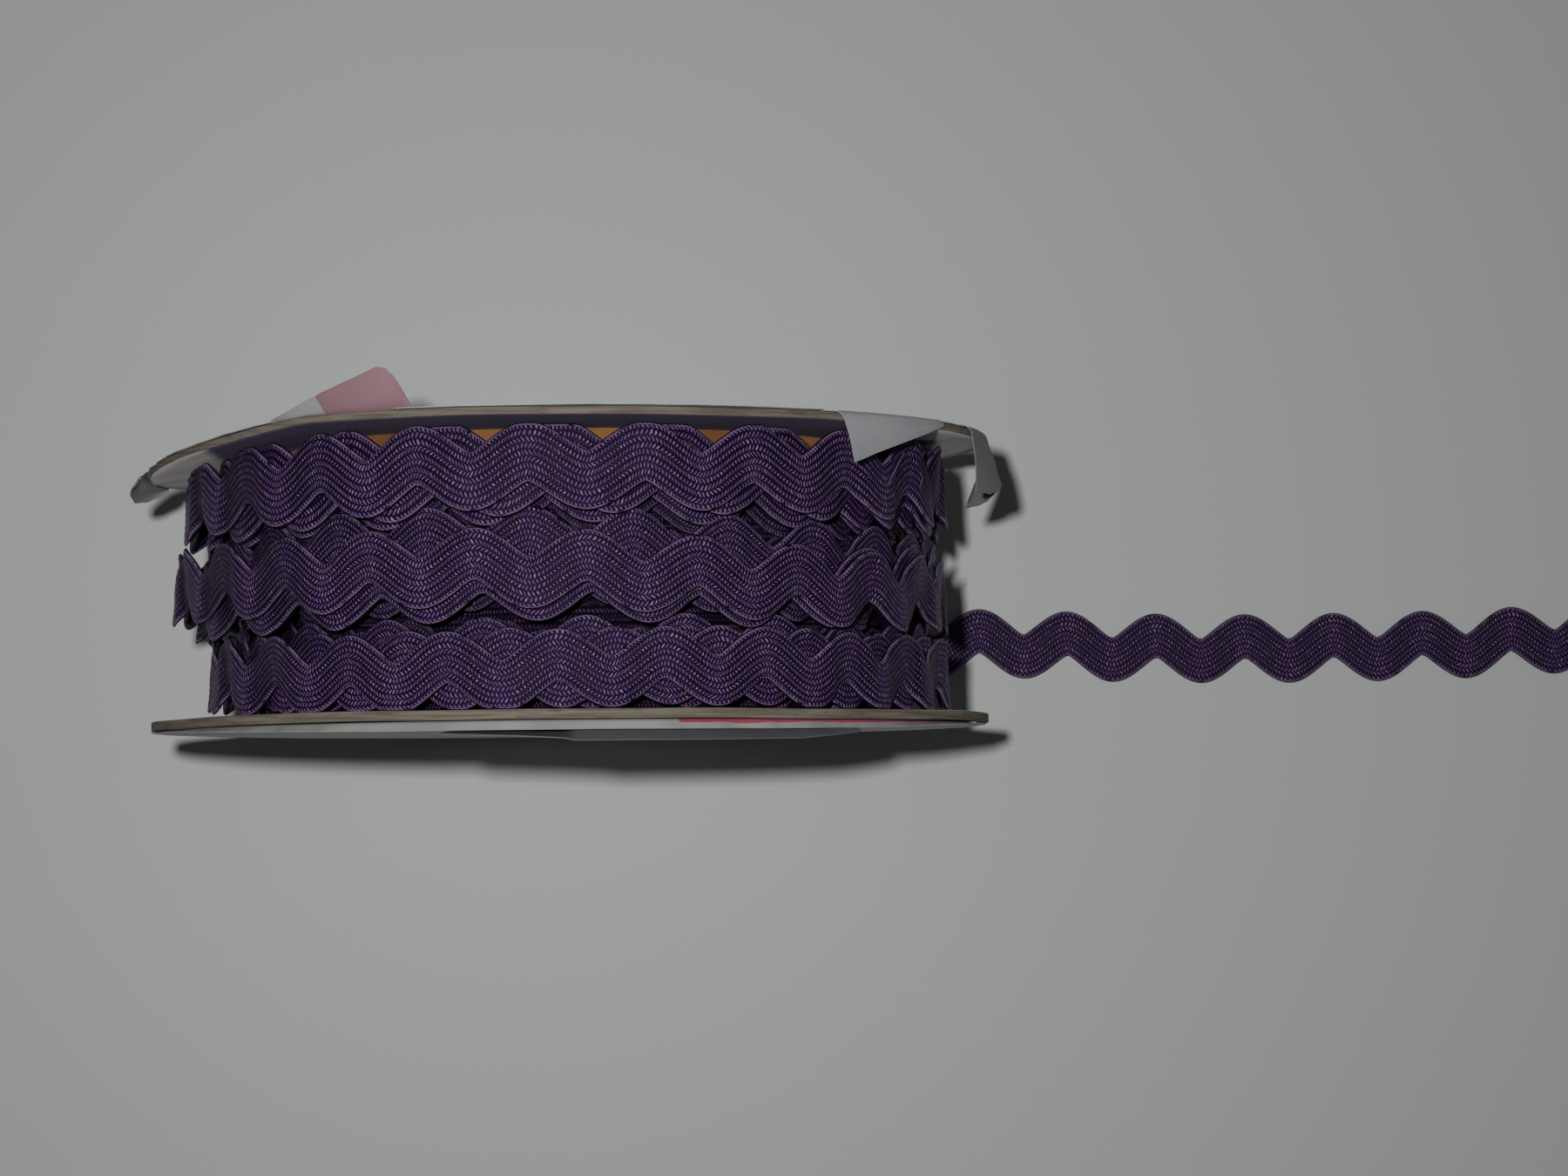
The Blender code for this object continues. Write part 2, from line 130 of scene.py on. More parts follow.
# Each row of turns, near to far. crest is the angle of an upper crest of the outermost turn, wave_angle the
# angle of one wave, and middle the outermost turn's middle line at angles round the roll. A turn gives its
# phase in waves, its shifts across the spool at the left and right, how far it stands out at the left (loose)
# and right (slack) end, its tuck, which is a shift at the right end alone, and its extra width.
ROWS = (
    {
        "name": "near",
        "crest": 89.0,
        "wave_angle": 15.7,
        "half_band": 3.2,
        "raised_edge": 0.0,
        "middle": (
            (0.0, -12.6), (41.9, -12.5), (57.0, -11.95), (74.0, -11.9), (90.0, -12.2), (120.4, -12.4),
            (150.0, -12.0), (180.0, -11.3),
        ),
        "seed": 3.1,
        "turns": rows_of(
            "phase left_shift right_shift loose slack tuck widen",
            (0.0, 0.0, 0.0, -2.9, 0.2, 0.0, 0.0),
            (-0.44, 0.3, 0.2, -3.3, 0.4, 0.0, 0.0),
            (0.25, 1.6, 1.9, -3.3, 0.3, 0.0, 0.0),
            (-0.15, 0.5, -0.2, -3.5, -0.9, 0.0, 0.0),
            (0.4, 2.0, 1.2, -3.6, -1.0, 0.0, 0.0),
        ),
    },
    {
        "name": "middle",
        "crest": 84.4,
        "wave_angle": 15.92,
        "half_band": 3.2,
        "raised_edge": 0.0,
        "middle": (
            (0.0, -2.3), (36.3, -2.05), (51.5, -1.6), (68.4, -0.7), (84.4, 0.05), (100.75, 0.4),
            (116.5, 0.2), (131.8, -0.1), (180.0, 0.0),
        ),
        "seed": 1.3,
        "turns": rows_of(
            "phase left_shift right_shift loose slack tuck widen",
            (0.0, 0.0, 0.0, 1.6, 0.0, 0.0, 0.0),
            (0.02, -2.3, -0.6, 0.4, 0.6, 2.6, 0.0),
            (0.44, 2.6, 3.4, -0.3, 0.5, 0.0, 0.0),
            (-0.2, 0.2, 1.4, -0.7, 0.4, -2.6, 0.0),
            (0.3, -1.5, 2.4, -1.0, -0.9, 0.0, 0.0),
        ),
    },
    {
        "name": "far",
        "crest": 92.4,
        "wave_angle": 16.6,
        "half_band": 3.43,
        "raised_edge": 0.5,
        "middle": (
            (0.0, 11.95), (34.1, 12.25), (51.5, 12.35), (68.4, 12.35), (83.0, 12.45), (100.4, 12.35),
            (117.3, 12.1), (150.0, 11.2), (180.0, 10.1),
        ),
        "seed": 2.2,
        "turns": rows_of(
            "phase left_shift right_shift loose slack tuck widen",
            (0.0, 0.0, 0.0, 0.1, 0.3, 0.0, 0.0),
            (0.21, -0.6, 0.7, -0.9, 0.4, -1.9, 0.55),
            (0.05, -1.6, -1.4, -1.3, 0.2, 0.0, 0.0),
            (0.25, -1.8, -1.8, -1.4, -0.8, 0.0, 0.0),
            (0.1, -2.6, -2.6, -1.6, -1.0, 0.0, 0.0),
        ),
    },
)

# Fibres that stand off the braid, root to tip
FIBRE_RADIUS = 0.06
STRAY_FIBRES = (
    ((44.2, 15.6, 80.0), (43.5, 14.2, 82.4), (42.7, 12.6, 83.4), (41.8, 11.0, 82.4)),
    ((46.4, 13.4, 75.0), (46.6, 12.4, 77.6), (46.2, 11.2, 78.8)),
    ((40.6, 13.8, 84.0), (39.6, 12.6, 86.2), (39.0, 11.0, 86.6)),
)

# The loose end, and the route of its middle line across the table
TAIL_REACH = 149.0
TAIL_WAVE_LENGTH = 12.9
TAIL_FIRST_CREST = 57.0
TAIL_SAMPLES_PER_WAVE = 24
TAIL_TOUCHES_TABLE = 34.0
TAIL_START_HEIGHT = 3.86
# Painted shade over the whole loose end
TAIL_SHADE = 0.12
TAIL_CORNER_SPREAD = 6.0
TAIL_CORNER_SAMPLES = 7
TAIL_ROUTE = (
    (-3.0, -12.1), (12.0, -11.6), (30.0, -9.6), (45.0, -7.3), (57.0, -6.5),
    (75.0, -7.5), (96.0, -7.95), (120.0, -7.8), (135.0, -7.3), (149.0, -6.6),
)

# The discs: their rings of faces, their wear, how they lean and bend, and the kraft ply
DISC_SIDES = 240
DISC_RINGS = (20.0, 34.0, 42.0, 46.0, 49.0, 51.5, 53.5)
RIM_SOFTNESS = 0.14
WORN_LEFT = 0.6
WORN_SPREAD = 0.45
RIM_UNEVEN = 0.07
BOARD_UNEVEN = 0.12
FAR_TILT = 0.7
BEND_START = -29.5
BEND_REACH = 26.1
BEND_DEPTH = 4.1
BEND_POWER = 1.15
NEAR_TILT = 0.65
PRESSED = 0.17
KRAFT_RADIUS = 38.0
KRAFT_THICKNESS = 2.3
KRAFT_RINGS = (20.0, 34.0)
# Where the painted shade on the lining ends, left and right
LINING_SHADE_SPAN = (-44.0, 44.0)

# Paper labels
PAPER = 0.14
NEAR_PAPER_EDGE = 55.2
NEAR_PAPER_ROOT = 52.0
FAR_PAPER_EDGE = 55.3
FAR_PAPER_ROOT = 47.3
GLUE = 0.05
PAPER_OVER_TABLE = 0.3
PAPER_OFF_RIM = 0.12
STRIP_SHORT = 0.3
RED_BORDER = 2.1
PAST_ANY_FLAP = 70.0
TORN_COARSE = 0.25
TORN_FINE = 0.12
TORN_SHORT = 0.2
CUT_FLAP_RAGGED = 0.05
TORN_FLAP_RAGGED = 0.7

# Where the camera and the flash stand, in the spool's millimetres
CAMERA_PLACE = (28.4, -24.3, 637.0)
CAMERA_TILT = 2.34
CAMERA_ROLL = -0.66
CAMERA_LENS = 100.4
FLASH_PLACE = (-2.0, 3.5, 640.0)
FLASH_AIM = (-12.0, 0.0, 30.0)


def in_frame(points):
    """Spool millimetres to the shared frame's metres."""
    return (np.asarray(points, float) + np.array([SPOOL_X, SPOOL_Y, 0.0])) * MM


def linear(red, green, blue):
    """A colour read off a screen, 0 to 255, as the shader wants it."""
    def channel(value):
        share = value / 255.0
        if share <= 0.04045:
            return share / 12.92
        return ((share + 0.055) / 1.055) ** 2.4
    return (channel(red), channel(green), channel(blue), 1.0)


def smooth_step(share):
    """A soft change from 0 to 1."""
    share = np.clip(share, 0.0, 1.0)
    return share * share * (3.0 - 2.0 * share)


def crest_wave(phase, roundness):
    """One edge of the ric rac, from 1 to -1: a round crest at phase 0 and a notch half a wave on."""
    return 2.0 * np.abs(np.cos(phase / 2.0)) ** roundness - 1.0


def running(steps):
    """Steps added up, from nothing."""
    return np.concatenate([[0.0], np.cumsum(steps)])


def soften_line(line, times):
    """Round a line's corners, in place, and keep its two ends."""
    for _ in range(times):
        line[1:-1] = (line[:-2] + 2.0 * line[1:-1] + line[2:]) / 4.0


def wander(position, seed):
    """A slow irregular line between about -1 and 1."""
    return (
        0.5 * np.sin(1.0 * position + seed)
        + 0.3 * np.sin(2.3 * position + 2.7 * seed)
        + 0.2 * np.sin(5.1 * position + 4.1 * seed)
    )


def far_lean(x, z):
    """How far the far disc stands towards the winding: bent in at its left, tipped out at its top."""
    into = np.clip((BEND_START - np.asarray(x, float)) / BEND_REACH, 0.0, 1.2)
    return BEND_DEPTH * into**BEND_POWER - FAR_TILT * np.asarray(z, float) / (2.0 * DISC_RADIUS)


def near_lean(z):
    """How far the near disc stands towards the winding: it leans in at its top and out at its foot."""
    return NEAR_TILT * (np.asarray(z, float) - AXIS_HEIGHT) / DISC_RADIUS


# Making pieces

def deselect_all():
    """Leave edit mode and select nothing."""
    if bpy.context.object is not None and bpy.context.object.mode != "OBJECT":
        bpy.ops.object.mode_set(mode="OBJECT")
    bpy.ops.object.select_all(action="DESELECT")


def select_only(piece):
    """Select one piece and make it the active one."""
    deselect_all()
    piece.select_set(True)
    bpy.context.view_layer.objects.active = piece


def read_points(mesh):
    """A mesh's points, one row each."""
    flat = np.empty(len(mesh.vertices) * 3)
    mesh.vertices.foreach_get("co", flat)
    return flat.reshape(-1, 3)


def place_points(mesh, points):
    """Put a mesh's points at their places, given in the spool's millimetres."""
    mesh.vertices.foreach_set("co", in_frame(points).ravel())
    mesh.update()


def grid_piece(name, points, uvs, course=None):
    """A grid primitive laid out on a form, with its map along and across it.

    A braid also maps its course, row by row: how steeply it runs, and how much painted shade darkens it for
    lying deep in the roll or turning away from the light at the roll's ends.
    """
    rows, columns = points.shape[:2]
    deselect_all()
    bpy.ops.mesh.primitive_grid_add(x_subdivisions=columns - 1, y_subdivisions=rows - 1, size=2.0)
    piece = bpy.context.active_object
    piece.name = name
    mesh = piece.data
    mesh.name = name
    flat = read_points(mesh)
    column = np.rint((flat[:, 0] + 1.0) / 2.0 * (columns - 1)).astype(int)
    row = np.rint((flat[:, 1] + 1.0) / 2.0 * (rows - 1)).astype(int)
    place_points(mesh, points[row, column])
    corner = np.empty(len(mesh.loops), int)
    mesh.loops.foreach_get("vertex_index", corner)
    mesh.uv_layers.active.data.foreach_set("uv", uvs[row[corner], column[corner]].ravel())
    if course is not None:
        mesh.uv_layers.new(name="Course").data.foreach_set("uv", course[row[corner]].ravel())
    mesh.update()
    return piece


def close_seam(piece):
    """Join the long seam of a rolled-up grid, cap its two ends and point its faces outwards."""
    select_only(piece)
    bpy.ops.object.mode_set(mode="EDIT")
    bpy.ops.mesh.select_all(action="SELECT")
    bpy.ops.mesh.remove_doubles(threshold=1e-7)
    bpy.ops.mesh.fill_holes(sides=0)
    bpy.ops.mesh.select_all(action="SELECT")
    bpy.ops.mesh.normals_make_consistent(inside=False)
    bpy.ops.object.mode_set(mode="OBJECT")


def finish_piece(piece, material, smooth_degrees=60.0):
    """Smooth the faces up to an angle, give the piece its material and its place on the roll."""
    select_only(piece)
    bpy.ops.object.shade_smooth_by_angle(angle=math.radians(smooth_degrees))
    piece.data.materials.clear()
    piece.data.materials.append(material)
    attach(piece, "root")


def apply_modifiers(piece):
    """Make the piece's modifiers part of its mesh, first to last."""
    select_only(piece)
    for modifier in list(piece.modifiers):
        bpy.ops.object.modifier_apply(modifier=modifier.name)


# Shader groups

def new_group(name, inputs, outputs):
    """A shader node group; inputs and outputs are (name, socket type, default)."""
    group = bpy.data.node_groups.new(name, "ShaderNodeTree")
    for label, kind, value in inputs:
        socket = group.interface.new_socket(name=label, in_out="INPUT", socket_type=kind)
        if value is not None:
            socket.default_value = value
    for label, kind in outputs:
        group.interface.new_socket(name=label, in_out="OUTPUT", socket_type=kind)
    start = group.nodes.new("NodeGroupInput")
    end = group.nodes.new("NodeGroupOutput")
    return group, start, end


class Wiring:
    """Short words for adding and joining nodes in one tree."""

    def __init__(self, tree):
        self.tree = tree

    def node(self, kind, **settings):
        made = self.tree.nodes.new(kind)
        for key, value in settings.items():
            setattr(made, key, value)
        return made

    def join(self, source, target):
        self.tree.links.new(source, target)

    def feed(self, socket, value):
        if isinstance(value, bpy.types.NodeSocket):
            self.join(value, socket)
        else:
            socket.default_value = value

    def math(self, operation, first, second=None, third=None):
        made = self.node("ShaderNodeMath", operation=operation)
        for socket, value in zip(made.inputs, (first, second, third)):
            if value is not None:
                self.feed(socket, value)
        return made.outputs[0]

    def parts(self, vector):
        made = self.node("ShaderNodeSeparateXYZ")
        self.join(vector, made.inputs[0])
        return made.outputs

    def mix_colour(self, share, low, high, blend="MIX"):
        made = self.node("ShaderNodeMix", data_type="RGBA", blend_type=blend)
        self.feed(made.inputs["Factor"], share)
        self.feed(made.inputs[6], low)
        self.feed(made.inputs[7], high)
        return made.outputs[2]

    def noise(self, vector, scale, detail=2.0, roughness=0.5):
        made = self.node("ShaderNodeTexNoise")
        self.feed(made.inputs["Vector"], vector)
        made.inputs["Scale"].default_value = scale
        made.inputs["Detail"].default_value = detail
        made.inputs["Roughness"].default_value = roughness
        return made.outputs["Fac"]

    def ramp(self, value, low, high, to_low=0.0, to_high=1.0):
        made = self.node("ShaderNodeMapRange", interpolation_type="SMOOTHSTEP")
        self.feed(made.inputs["Value"], value)
        self.feed(made.inputs["From Min"], low)
        self.feed(made.inputs["From Max"], high)
        self.feed(made.inputs["To Min"], to_low)
        self.feed(made.inputs["To Max"], to_high)
        return made.outputs["Result"]

    def scaled(self, vector, factors):
        made = self.node("ShaderNodeVectorMath", operation="MULTIPLY")
        self.feed(made.inputs[0], vector)
        made.inputs[1].default_value = factors
        return made.outputs[0]

    def bump(self, height, strength, depth, shader):
        made = self.node("ShaderNodeBump")
        made.inputs["Strength"].default_value = strength
        made.inputs["Distance"].default_value = depth * MM
        self.join(height, made.inputs["Height"])
        self.join(made.outputs[0], shader.inputs["Normal"])


def braid_stitches_group():
    """Slanted stitches in rows along the braid. Weave is millimetres along and ribs across."""
    group, start, end = new_group(
        "braid stitches",
        [("Weave", "NodeSocketVector", None), ("Steepness", "NodeSocketFloat", 0.5),
         ("Stitch", "NodeSocketFloat", STITCH), ("Slant", "NodeSocketFloat", 0.7)],
        [("Yarn", "NodeSocketFloat"), ("Height", "NodeSocketFloat"), ("Tone", "NodeSocketFloat"),
         ("Selvedge highlight", "NodeSocketFloat")],
    )
    w = Wiring(group)
    parts = w.parts(start.outputs["Weave"])
    along = w.math("DIVIDE", parts[0], start.outputs["Stitch"])
    across = parts[1]
    rib = w.math("FLOOR", across)
    in_rib = w.math("FRACT", across)
    odd = w.math("PINGPONG", rib, 1.0)
    way = w.math("MULTIPLY_ADD", odd, 2.0, -1.0)
    off_middle = w.math("SUBTRACT", in_rib, 0.5)
    lean = w.math("MULTIPLY", w.math("MULTIPLY", off_middle, way), start.outputs["Slant"])
    wobble_at = w.scaled(start.outputs["Weave"], (0.35, 0.9, 1.0))
    wobble = w.math("MULTIPLY_ADD", w.noise(wobble_at, 1.0, 1.0), 1.4, -0.7)
    shifted = w.math("ADD", w.math("ADD", along, lean), w.math("MULTIPLY_ADD", odd, 0.5, wobble))
    stitch = w.math("FLOOR", shifted)
    in_stitch = w.math("FRACT", shifted)
    bead = w.math("MULTIPLY_ADD", start.outputs["Steepness"], 0.85, 0.3)
    narrow = w.math("MULTIPLY_ADD", start.outputs["Steepness"], -0.2, 2.0)
    long_way = w.math("POWER", w.math("SINE", w.math("MULTIPLY", in_stitch, math.pi)), narrow)
    cross_way = w.math("POWER", w.math("SINE", w.math("MULTIPLY", in_rib, math.pi)), bead)
    height = w.math("MULTIPLY", long_way, cross_way)
    place = w.node("ShaderNodeCombineXYZ")
    w.join(stitch, place.inputs[0])
    w.join(rib, place.inputs[1])
    chance = w.node("ShaderNodeTexWhiteNoise", noise_dimensions="2D")
    w.join(place.outputs[0], chance.inputs["Vector"])
    from_edge = w.math("PINGPONG", across, RIBS / 2.0)
    # The outer rim of each edge keeps the colour between the stitches: painted shade along the braid's edges
    strands = w.math("GREATER_THAN", from_edge, 0.42)
    w.join(w.math("MULTIPLY", w.ramp(height, 0.42, 0.96), strands), end.inputs["Yarn"])
    w.join(height, end.inputs["Height"])
    w.join(chance.outputs["Value"], end.inputs["Tone"])
    # The edge yarn as a broken line brighter than the stitches: the real cord, with a painted highlight where
    # it catches the light
    outer_cord = w.math("GREATER_THAN", from_edge, 0.17)
    cord_highlight = w.math("MULTIPLY", w.math("LESS_THAN", from_edge, 0.38), outer_cord)
    broken = w.ramp(w.noise(w.scaled(start.outputs["Weave"], (0.6, 0.1, 1.0)), 1.0), 0.3, 0.55)
    w.join(w.math("MULTIPLY", cord_highlight, broken), end.inputs["Selvedge highlight"])
    return group


def new_material(name, roughness, specular):
    """A material with its roughness and shine; also its wiring and its shader."""
    material = bpy.data.materials.new(name)
    material.use_nodes = True
    shader = material.node_tree.nodes["Principled BSDF"]
    shader.inputs["Roughness"].default_value = roughness
    shader.inputs["Specular IOR Level"].default_value = specular
    return material, Wiring(material.node_tree), shader


def ric_rac_material(name, group):
    """Purple polyester braid: bluish and reddish yarns on top, the inner yarn dark between the stitches with
    painted shade.
    """
    material, w, shader = new_material(name, 0.38, 0.14)
    weave = w.node("ShaderNodeUVMap", uv_map="UVMap")
    stitches = w.node("ShaderNodeGroup", node_tree=group)
    w.join(weave.outputs[0], stitches.inputs["Weave"])
    course = w.parts(w.node("ShaderNodeUVMap", uv_map="Course").outputs[0])
    w.join(course[0], stitches.inputs["Steepness"])
    tone = stitches.outputs["Tone"]
    yarn = w.mix_colour(tone, BLUISH_YARN, REDDISH_YARN)
    # Painted glints: stitches of the highest tone turn brighter
    glinting = w.mix_colour(w.ramp(tone, 0.7, 1.0), yarn, PAINTED_GLINT_YARN)
    colour = w.mix_colour(stitches.outputs["Yarn"], INNER_YARN_IN_PAINTED_SHADE, glinting)
    edged = w.mix_colour(w.math("MULTIPLY", stitches.outputs["Selvedge highlight"], 0.8), colour, SELVEDGE_HIGHLIGHT)
    # Painted shade: the course's second part darkens deep turns, the core, the loose end and flanks turned
    # away from the light
    w.join(w.mix_colour(course[1], edged, PAINTED_DEEP_SHADE), shader.inputs["Base Color"])
    w.bump(stitches.outputs["Height"], 1.0, 0.14, shader)
    return material


def fibre_material():
    """Loose fibres, paler than the braid because the light comes through them."""
    material, _, shader = new_material("fibre", 0.5, 0.3)
    shader.inputs["Base Color"].default_value = FIBRE_COLOUR
    return material


def chipboard_edge_material():
    """The cut edge of grey-brown board: thin plies and fibres."""
    material, w, shader = new_material("chipboard_edge", 0.9, 0.2)
    place = w.node("ShaderNodeTexCoord").outputs["Object"]
    plies = w.noise(w.scaled(place, (110.0, 3200.0, 110.0)), 1.0, 3.0)
    fibres = w.noise(w.scaled(place, (300.0, 2400.0, 300.0)), 1.0, 3.0)
    colour = w.mix_colour(w.ramp(plies, 0.3, 0.7), linear(106, 96, 84), linear(136, 128, 114))
    mixed = w.mix_colour(w.ramp(fibres, 0.5, 0.8), colour, linear(96, 84, 76))
    w.join(mixed, shader.inputs["Base Color"])
    w.bump(plies, 0.6, 0.1, shader)
    return material


def board_face_material(name, light, dark, painted_shade=None):
    """The face of a board: flecked fibres and a faint cloudiness.

    The optional last argument gives the colour of painted shade over the middle of the face, and the left and
    right end of that stretch.
    """
    material, w, shader = new_material(name, 0.85, 0.25)
    shader.inputs["Diffuse Roughness"].default_value = 0.4
    place = w.node("ShaderNodeTexCoord").outputs["Object"]
    clouds = w.noise(place, 90.0, 3.0)
    flecks = w.noise(w.scaled(place, (1500.0, 1500.0, 700.0)), 1.0, 4.0)
    colour = w.mix_colour(w.ramp(clouds, 0.3, 0.7), light, dark)
    mixed = w.mix_colour(w.ramp(flecks, 0.55, 0.8), colour, dark)
    # Painted shade over the lining's middle; past its two ends the lining keeps its own light colour
    if painted_shade:
        shade_colour, left, right = painted_shade
        sideways = w.parts(place)[0]
        past_left = w.ramp(sideways, (SPOOL_X + left - 1.0) * MM, (SPOOL_X + left + 1.0) * MM)
        past_right = w.ramp(sideways, (SPOOL_X + right - 4.0) * MM, (SPOOL_X + right + 4.0) * MM)
        mixed = w.mix_colour(w.math("SUBTRACT", past_left, past_right), mixed, shade_colour)
    w.join(mixed, shader.inputs["Base Color"])
    w.bump(flecks, 0.4, 0.08, shader)
    return material


def paper_material(name, plain, zones=()):
    """Coated paper, mapped by degrees round and length outwards.

    A zone is a colour, the two angles and the two lengths that it lies between.
    """
    material, w, shader = new_material(name, 0.6, 0.3)
    degrees, length, _ = w.parts(w.node("ShaderNodeUVMap", uv_map="UVMap").outputs[0])
    place = w.node("ShaderNodeTexCoord").outputs["Object"]
    colour = plain
    for zone_colour, angles, lengths in zones:
        after = w.math("GREATER_THAN", degrees, angles[0])
        before = w.math("LESS_THAN", degrees, angles[1])
        outer = w.math("GREATER_THAN", length, lengths[0])
        inner = w.math("LESS_THAN", length, lengths[1])
        inside = w.math("MULTIPLY", w.math("MULTIPLY", after, before), w.math("MULTIPLY", outer, inner))
        colour = w.mix_colour(inside, colour, zone_colour)
    clouds = w.ramp(w.noise(place, 160.0, 4.0), 0.3, 0.7, 0.0, 0.5)
    w.join(w.mix_colour(clouds, colour, (0.9, 0.9, 0.92, 1.0), "MULTIPLY"), shader.inputs["Base Color"])
    creases = w.noise(w.scaled(place, (260.0, 90.0, 260.0)), 1.0, 3.0, 0.6)
    w.bump(creases, 0.25, 0.25, shader)
    return material


# The braid's cross-section

def section_swell(across):
    """How full the braid is at a share across it: 1 inside, 0 at its two edges."""
    return np.sqrt(np.clip(1.0 - np.abs(2.0 * across - 1.0) ** SECTION_FULLNESS, 0.0, 1.0))


def band_section(thickness, points_per_rib=4, under_points=6):
    """Closed section of the flat braid, ribbed on top: shares across, heights and ribs counted."""
    count = RIBS * points_per_rib
    across_top = np.arange(count + 1) / count
    swell = section_swell(across_top)
    ribs = np.abs(np.sin(math.pi * RIBS * across_top)) ** 0.8
    top = (thickness / 2.0) * ((1.0 - RIB_SHARE) * swell + RIB_SHARE * ribs * swell)
    across_under = 1.0 - np.arange(1, under_points) / under_points
    under = -(thickness / 2.0) * section_swell(across_under)
    across = np.concatenate([across_top, across_under, across_top[:1]])
    height = np.concatenate([top, under, top[:1]])
    reading = np.concatenate([across_top, 2.0 - across_under, [2.0]]) * RIBS
    return across, height, reading


def braid_lines(soft, sharp, across):
    """The lines of the braid, edge to edge: soft waves inside, sharper notches at the two edges."""
    upper, lower = soft
    lines = lower[:, None] + (upper - lower)[:, None] * across[None, :]
    lines = lines + (sharp[0] - upper)[:, None] * across[None, :] ** 4
    return lines + (sharp[1] - lower)[:, None] * (1.0 - across[None, :]) ** 4


def weave_along(distance, upper, lower, across):
    """Millimetres along the braid, measured on its waving middle, with its cross lines fanned."""
    slope = np.gradient((upper + lower) / 2.0, distance)
    longer = np.sqrt(1.0 + slope * slope)
    travelled = running(np.diff(distance) * longer[1:])
    off_middle = (upper - lower)[:, None] * (across[None, :] - 0.5)
    return MAP_START + travelled[:, None] + FAN * off_middle * (slope / longer)[:, None]


def braid_edges(middle, half_band, raised, swing, phase, lowest=-math.inf, highest=math.inf):
    """The braid's upper and lower line, once soft for its inside and once notched for its edges."""
    edges = []
    for roundness in (INNER_ROUNDNESS, EDGE_ROUNDNESS):
        upper = middle + half_band + raised + WAVE * swing * crest_wave(phase, roundness)
        lower = middle - half_band - WAVE * swing * crest_wave(phase + math.pi, roundness)
        edges.append((np.minimum(upper, highest), np.maximum(lower, lowest)))
    return edges


def braid_piece(name, node, points, along, reading, phase, shade, material):
    """A braid on its form, mapped along and across, with its steepness and its shade as its course."""
    uvs = np.stack([along, np.broadcast_to(reading, along.shape)], axis=-1)
    course = np.stack([np.sin(phase) ** 2, np.broadcast_to(shade, phase.shape)], axis=-1)
    piece = grid_piece(name, points, uvs, course)
    finish_strand(piece, node, material)
    return piece


def finish_strand(piece, node, material):
    """Close a rolled-up grid and put it in place of its solid."""
    close_seam(piece)
    finish_piece(piece, material)
    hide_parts(node)


# The winding

def between_turns(turn_place, values):
    """A value kept over the top of each turn, and changed smoothly to the next turn's underneath."""
    values = np.asarray(values, float)
    whole = np.floor(turn_place).astype(int)
    share = smooth_step((turn_place - whole - STEP_DOWN_START) / STEP_DOWN_SHARE)
    last = len(values) - 1
    here = np.clip(whole, 0, last)
    after = np.clip(whole + 1, 0, last)
    here_value = values[here]
    return here_value + (values[after] - here_value) * np.where(whole < 0, 0.0, share)


def turn_phases(row):
    """Each turn's phase in waves along the whole spiral, nearest to the turn before it."""
    waves = 360.0 / row["wave_angle"]
    phases = []
    for index, turn in enumerate(row["turns"]):
        phase = turn["phase"] - index * waves
        if phases:
            phase += round(phases[-1] - phase)
        phases.append(phase)
    return phases


def turn_values(row, key, turn_place):
    """One of the row's values along the spiral, turn by turn."""
    return between_turns(turn_place, [turn[key] for turn in row["turns"]])


def end_shares(local, tightness):
    """How much each place round the roll belongs to its left end and to its right end."""
    off_left = (local - LEFT) / LEFT_SPREAD
    off_right = np.where(local > 180.0, local - 360.0, local) / RIGHT_SPREAD
    return np.exp(-tightness * off_left * off_left), np.exp(-tightness * off_right * off_right)


def by_end(amounts, at_left, at_right):
    """An amount everywhere, with what the two ends add to it."""
    everywhere, left, right = amounts
    return everywhere + left * at_left + right * at_right


def row_middle(row, angle, local, turn_place, at_left, at_right):
    """The middle line of every turn: the seen one, shifted at its left and right, a little uneven."""
    folded = np.where(local > 270.0, local - 360.0, local)
    folded = np.abs(np.where(folded > 180.0, 360.0 - folded, folded))
    angles_seen, places_seen = zip(*row["middle"])
    middle = np.interp(folded, angles_seen, places_seen)
    leftness = 0.5 - 0.5 * np.cos(angle)
    left_shift = turn_values(row, "left_shift", turn_place)
    right_shift = turn_values(row, "right_shift", turn_place)
    middle = middle + left_shift * leftness + right_shift * (1.0 - leftness)
    middle = middle + turn_values(row, "tuck", turn_place) * at_right
    return middle + by_end(MIDDLE_UNEVEN, at_left, at_right) * wander(angle * 2.9, row["seed"] + 1.0)


def row_radius(row, angle, turn_place, at_left, at_right):
    """How far every turn's middle lies from the axis: pressed inwards, loose at both ends."""
    level = between_turns(turn_place, np.arange(len(row["turns"])))
    loose = turn_values(row, "loose", turn_place) * at_left
    slack = turn_values(row, "slack", turn_place) * at_right
    uneven = by_end(RADIUS_UNEVEN, at_left, at_right) * wander(angle * 3.3, row["seed"] + 2.0)
    return WOUND_RADIUS - TURN_PITCH * level + loose + slack + uneven


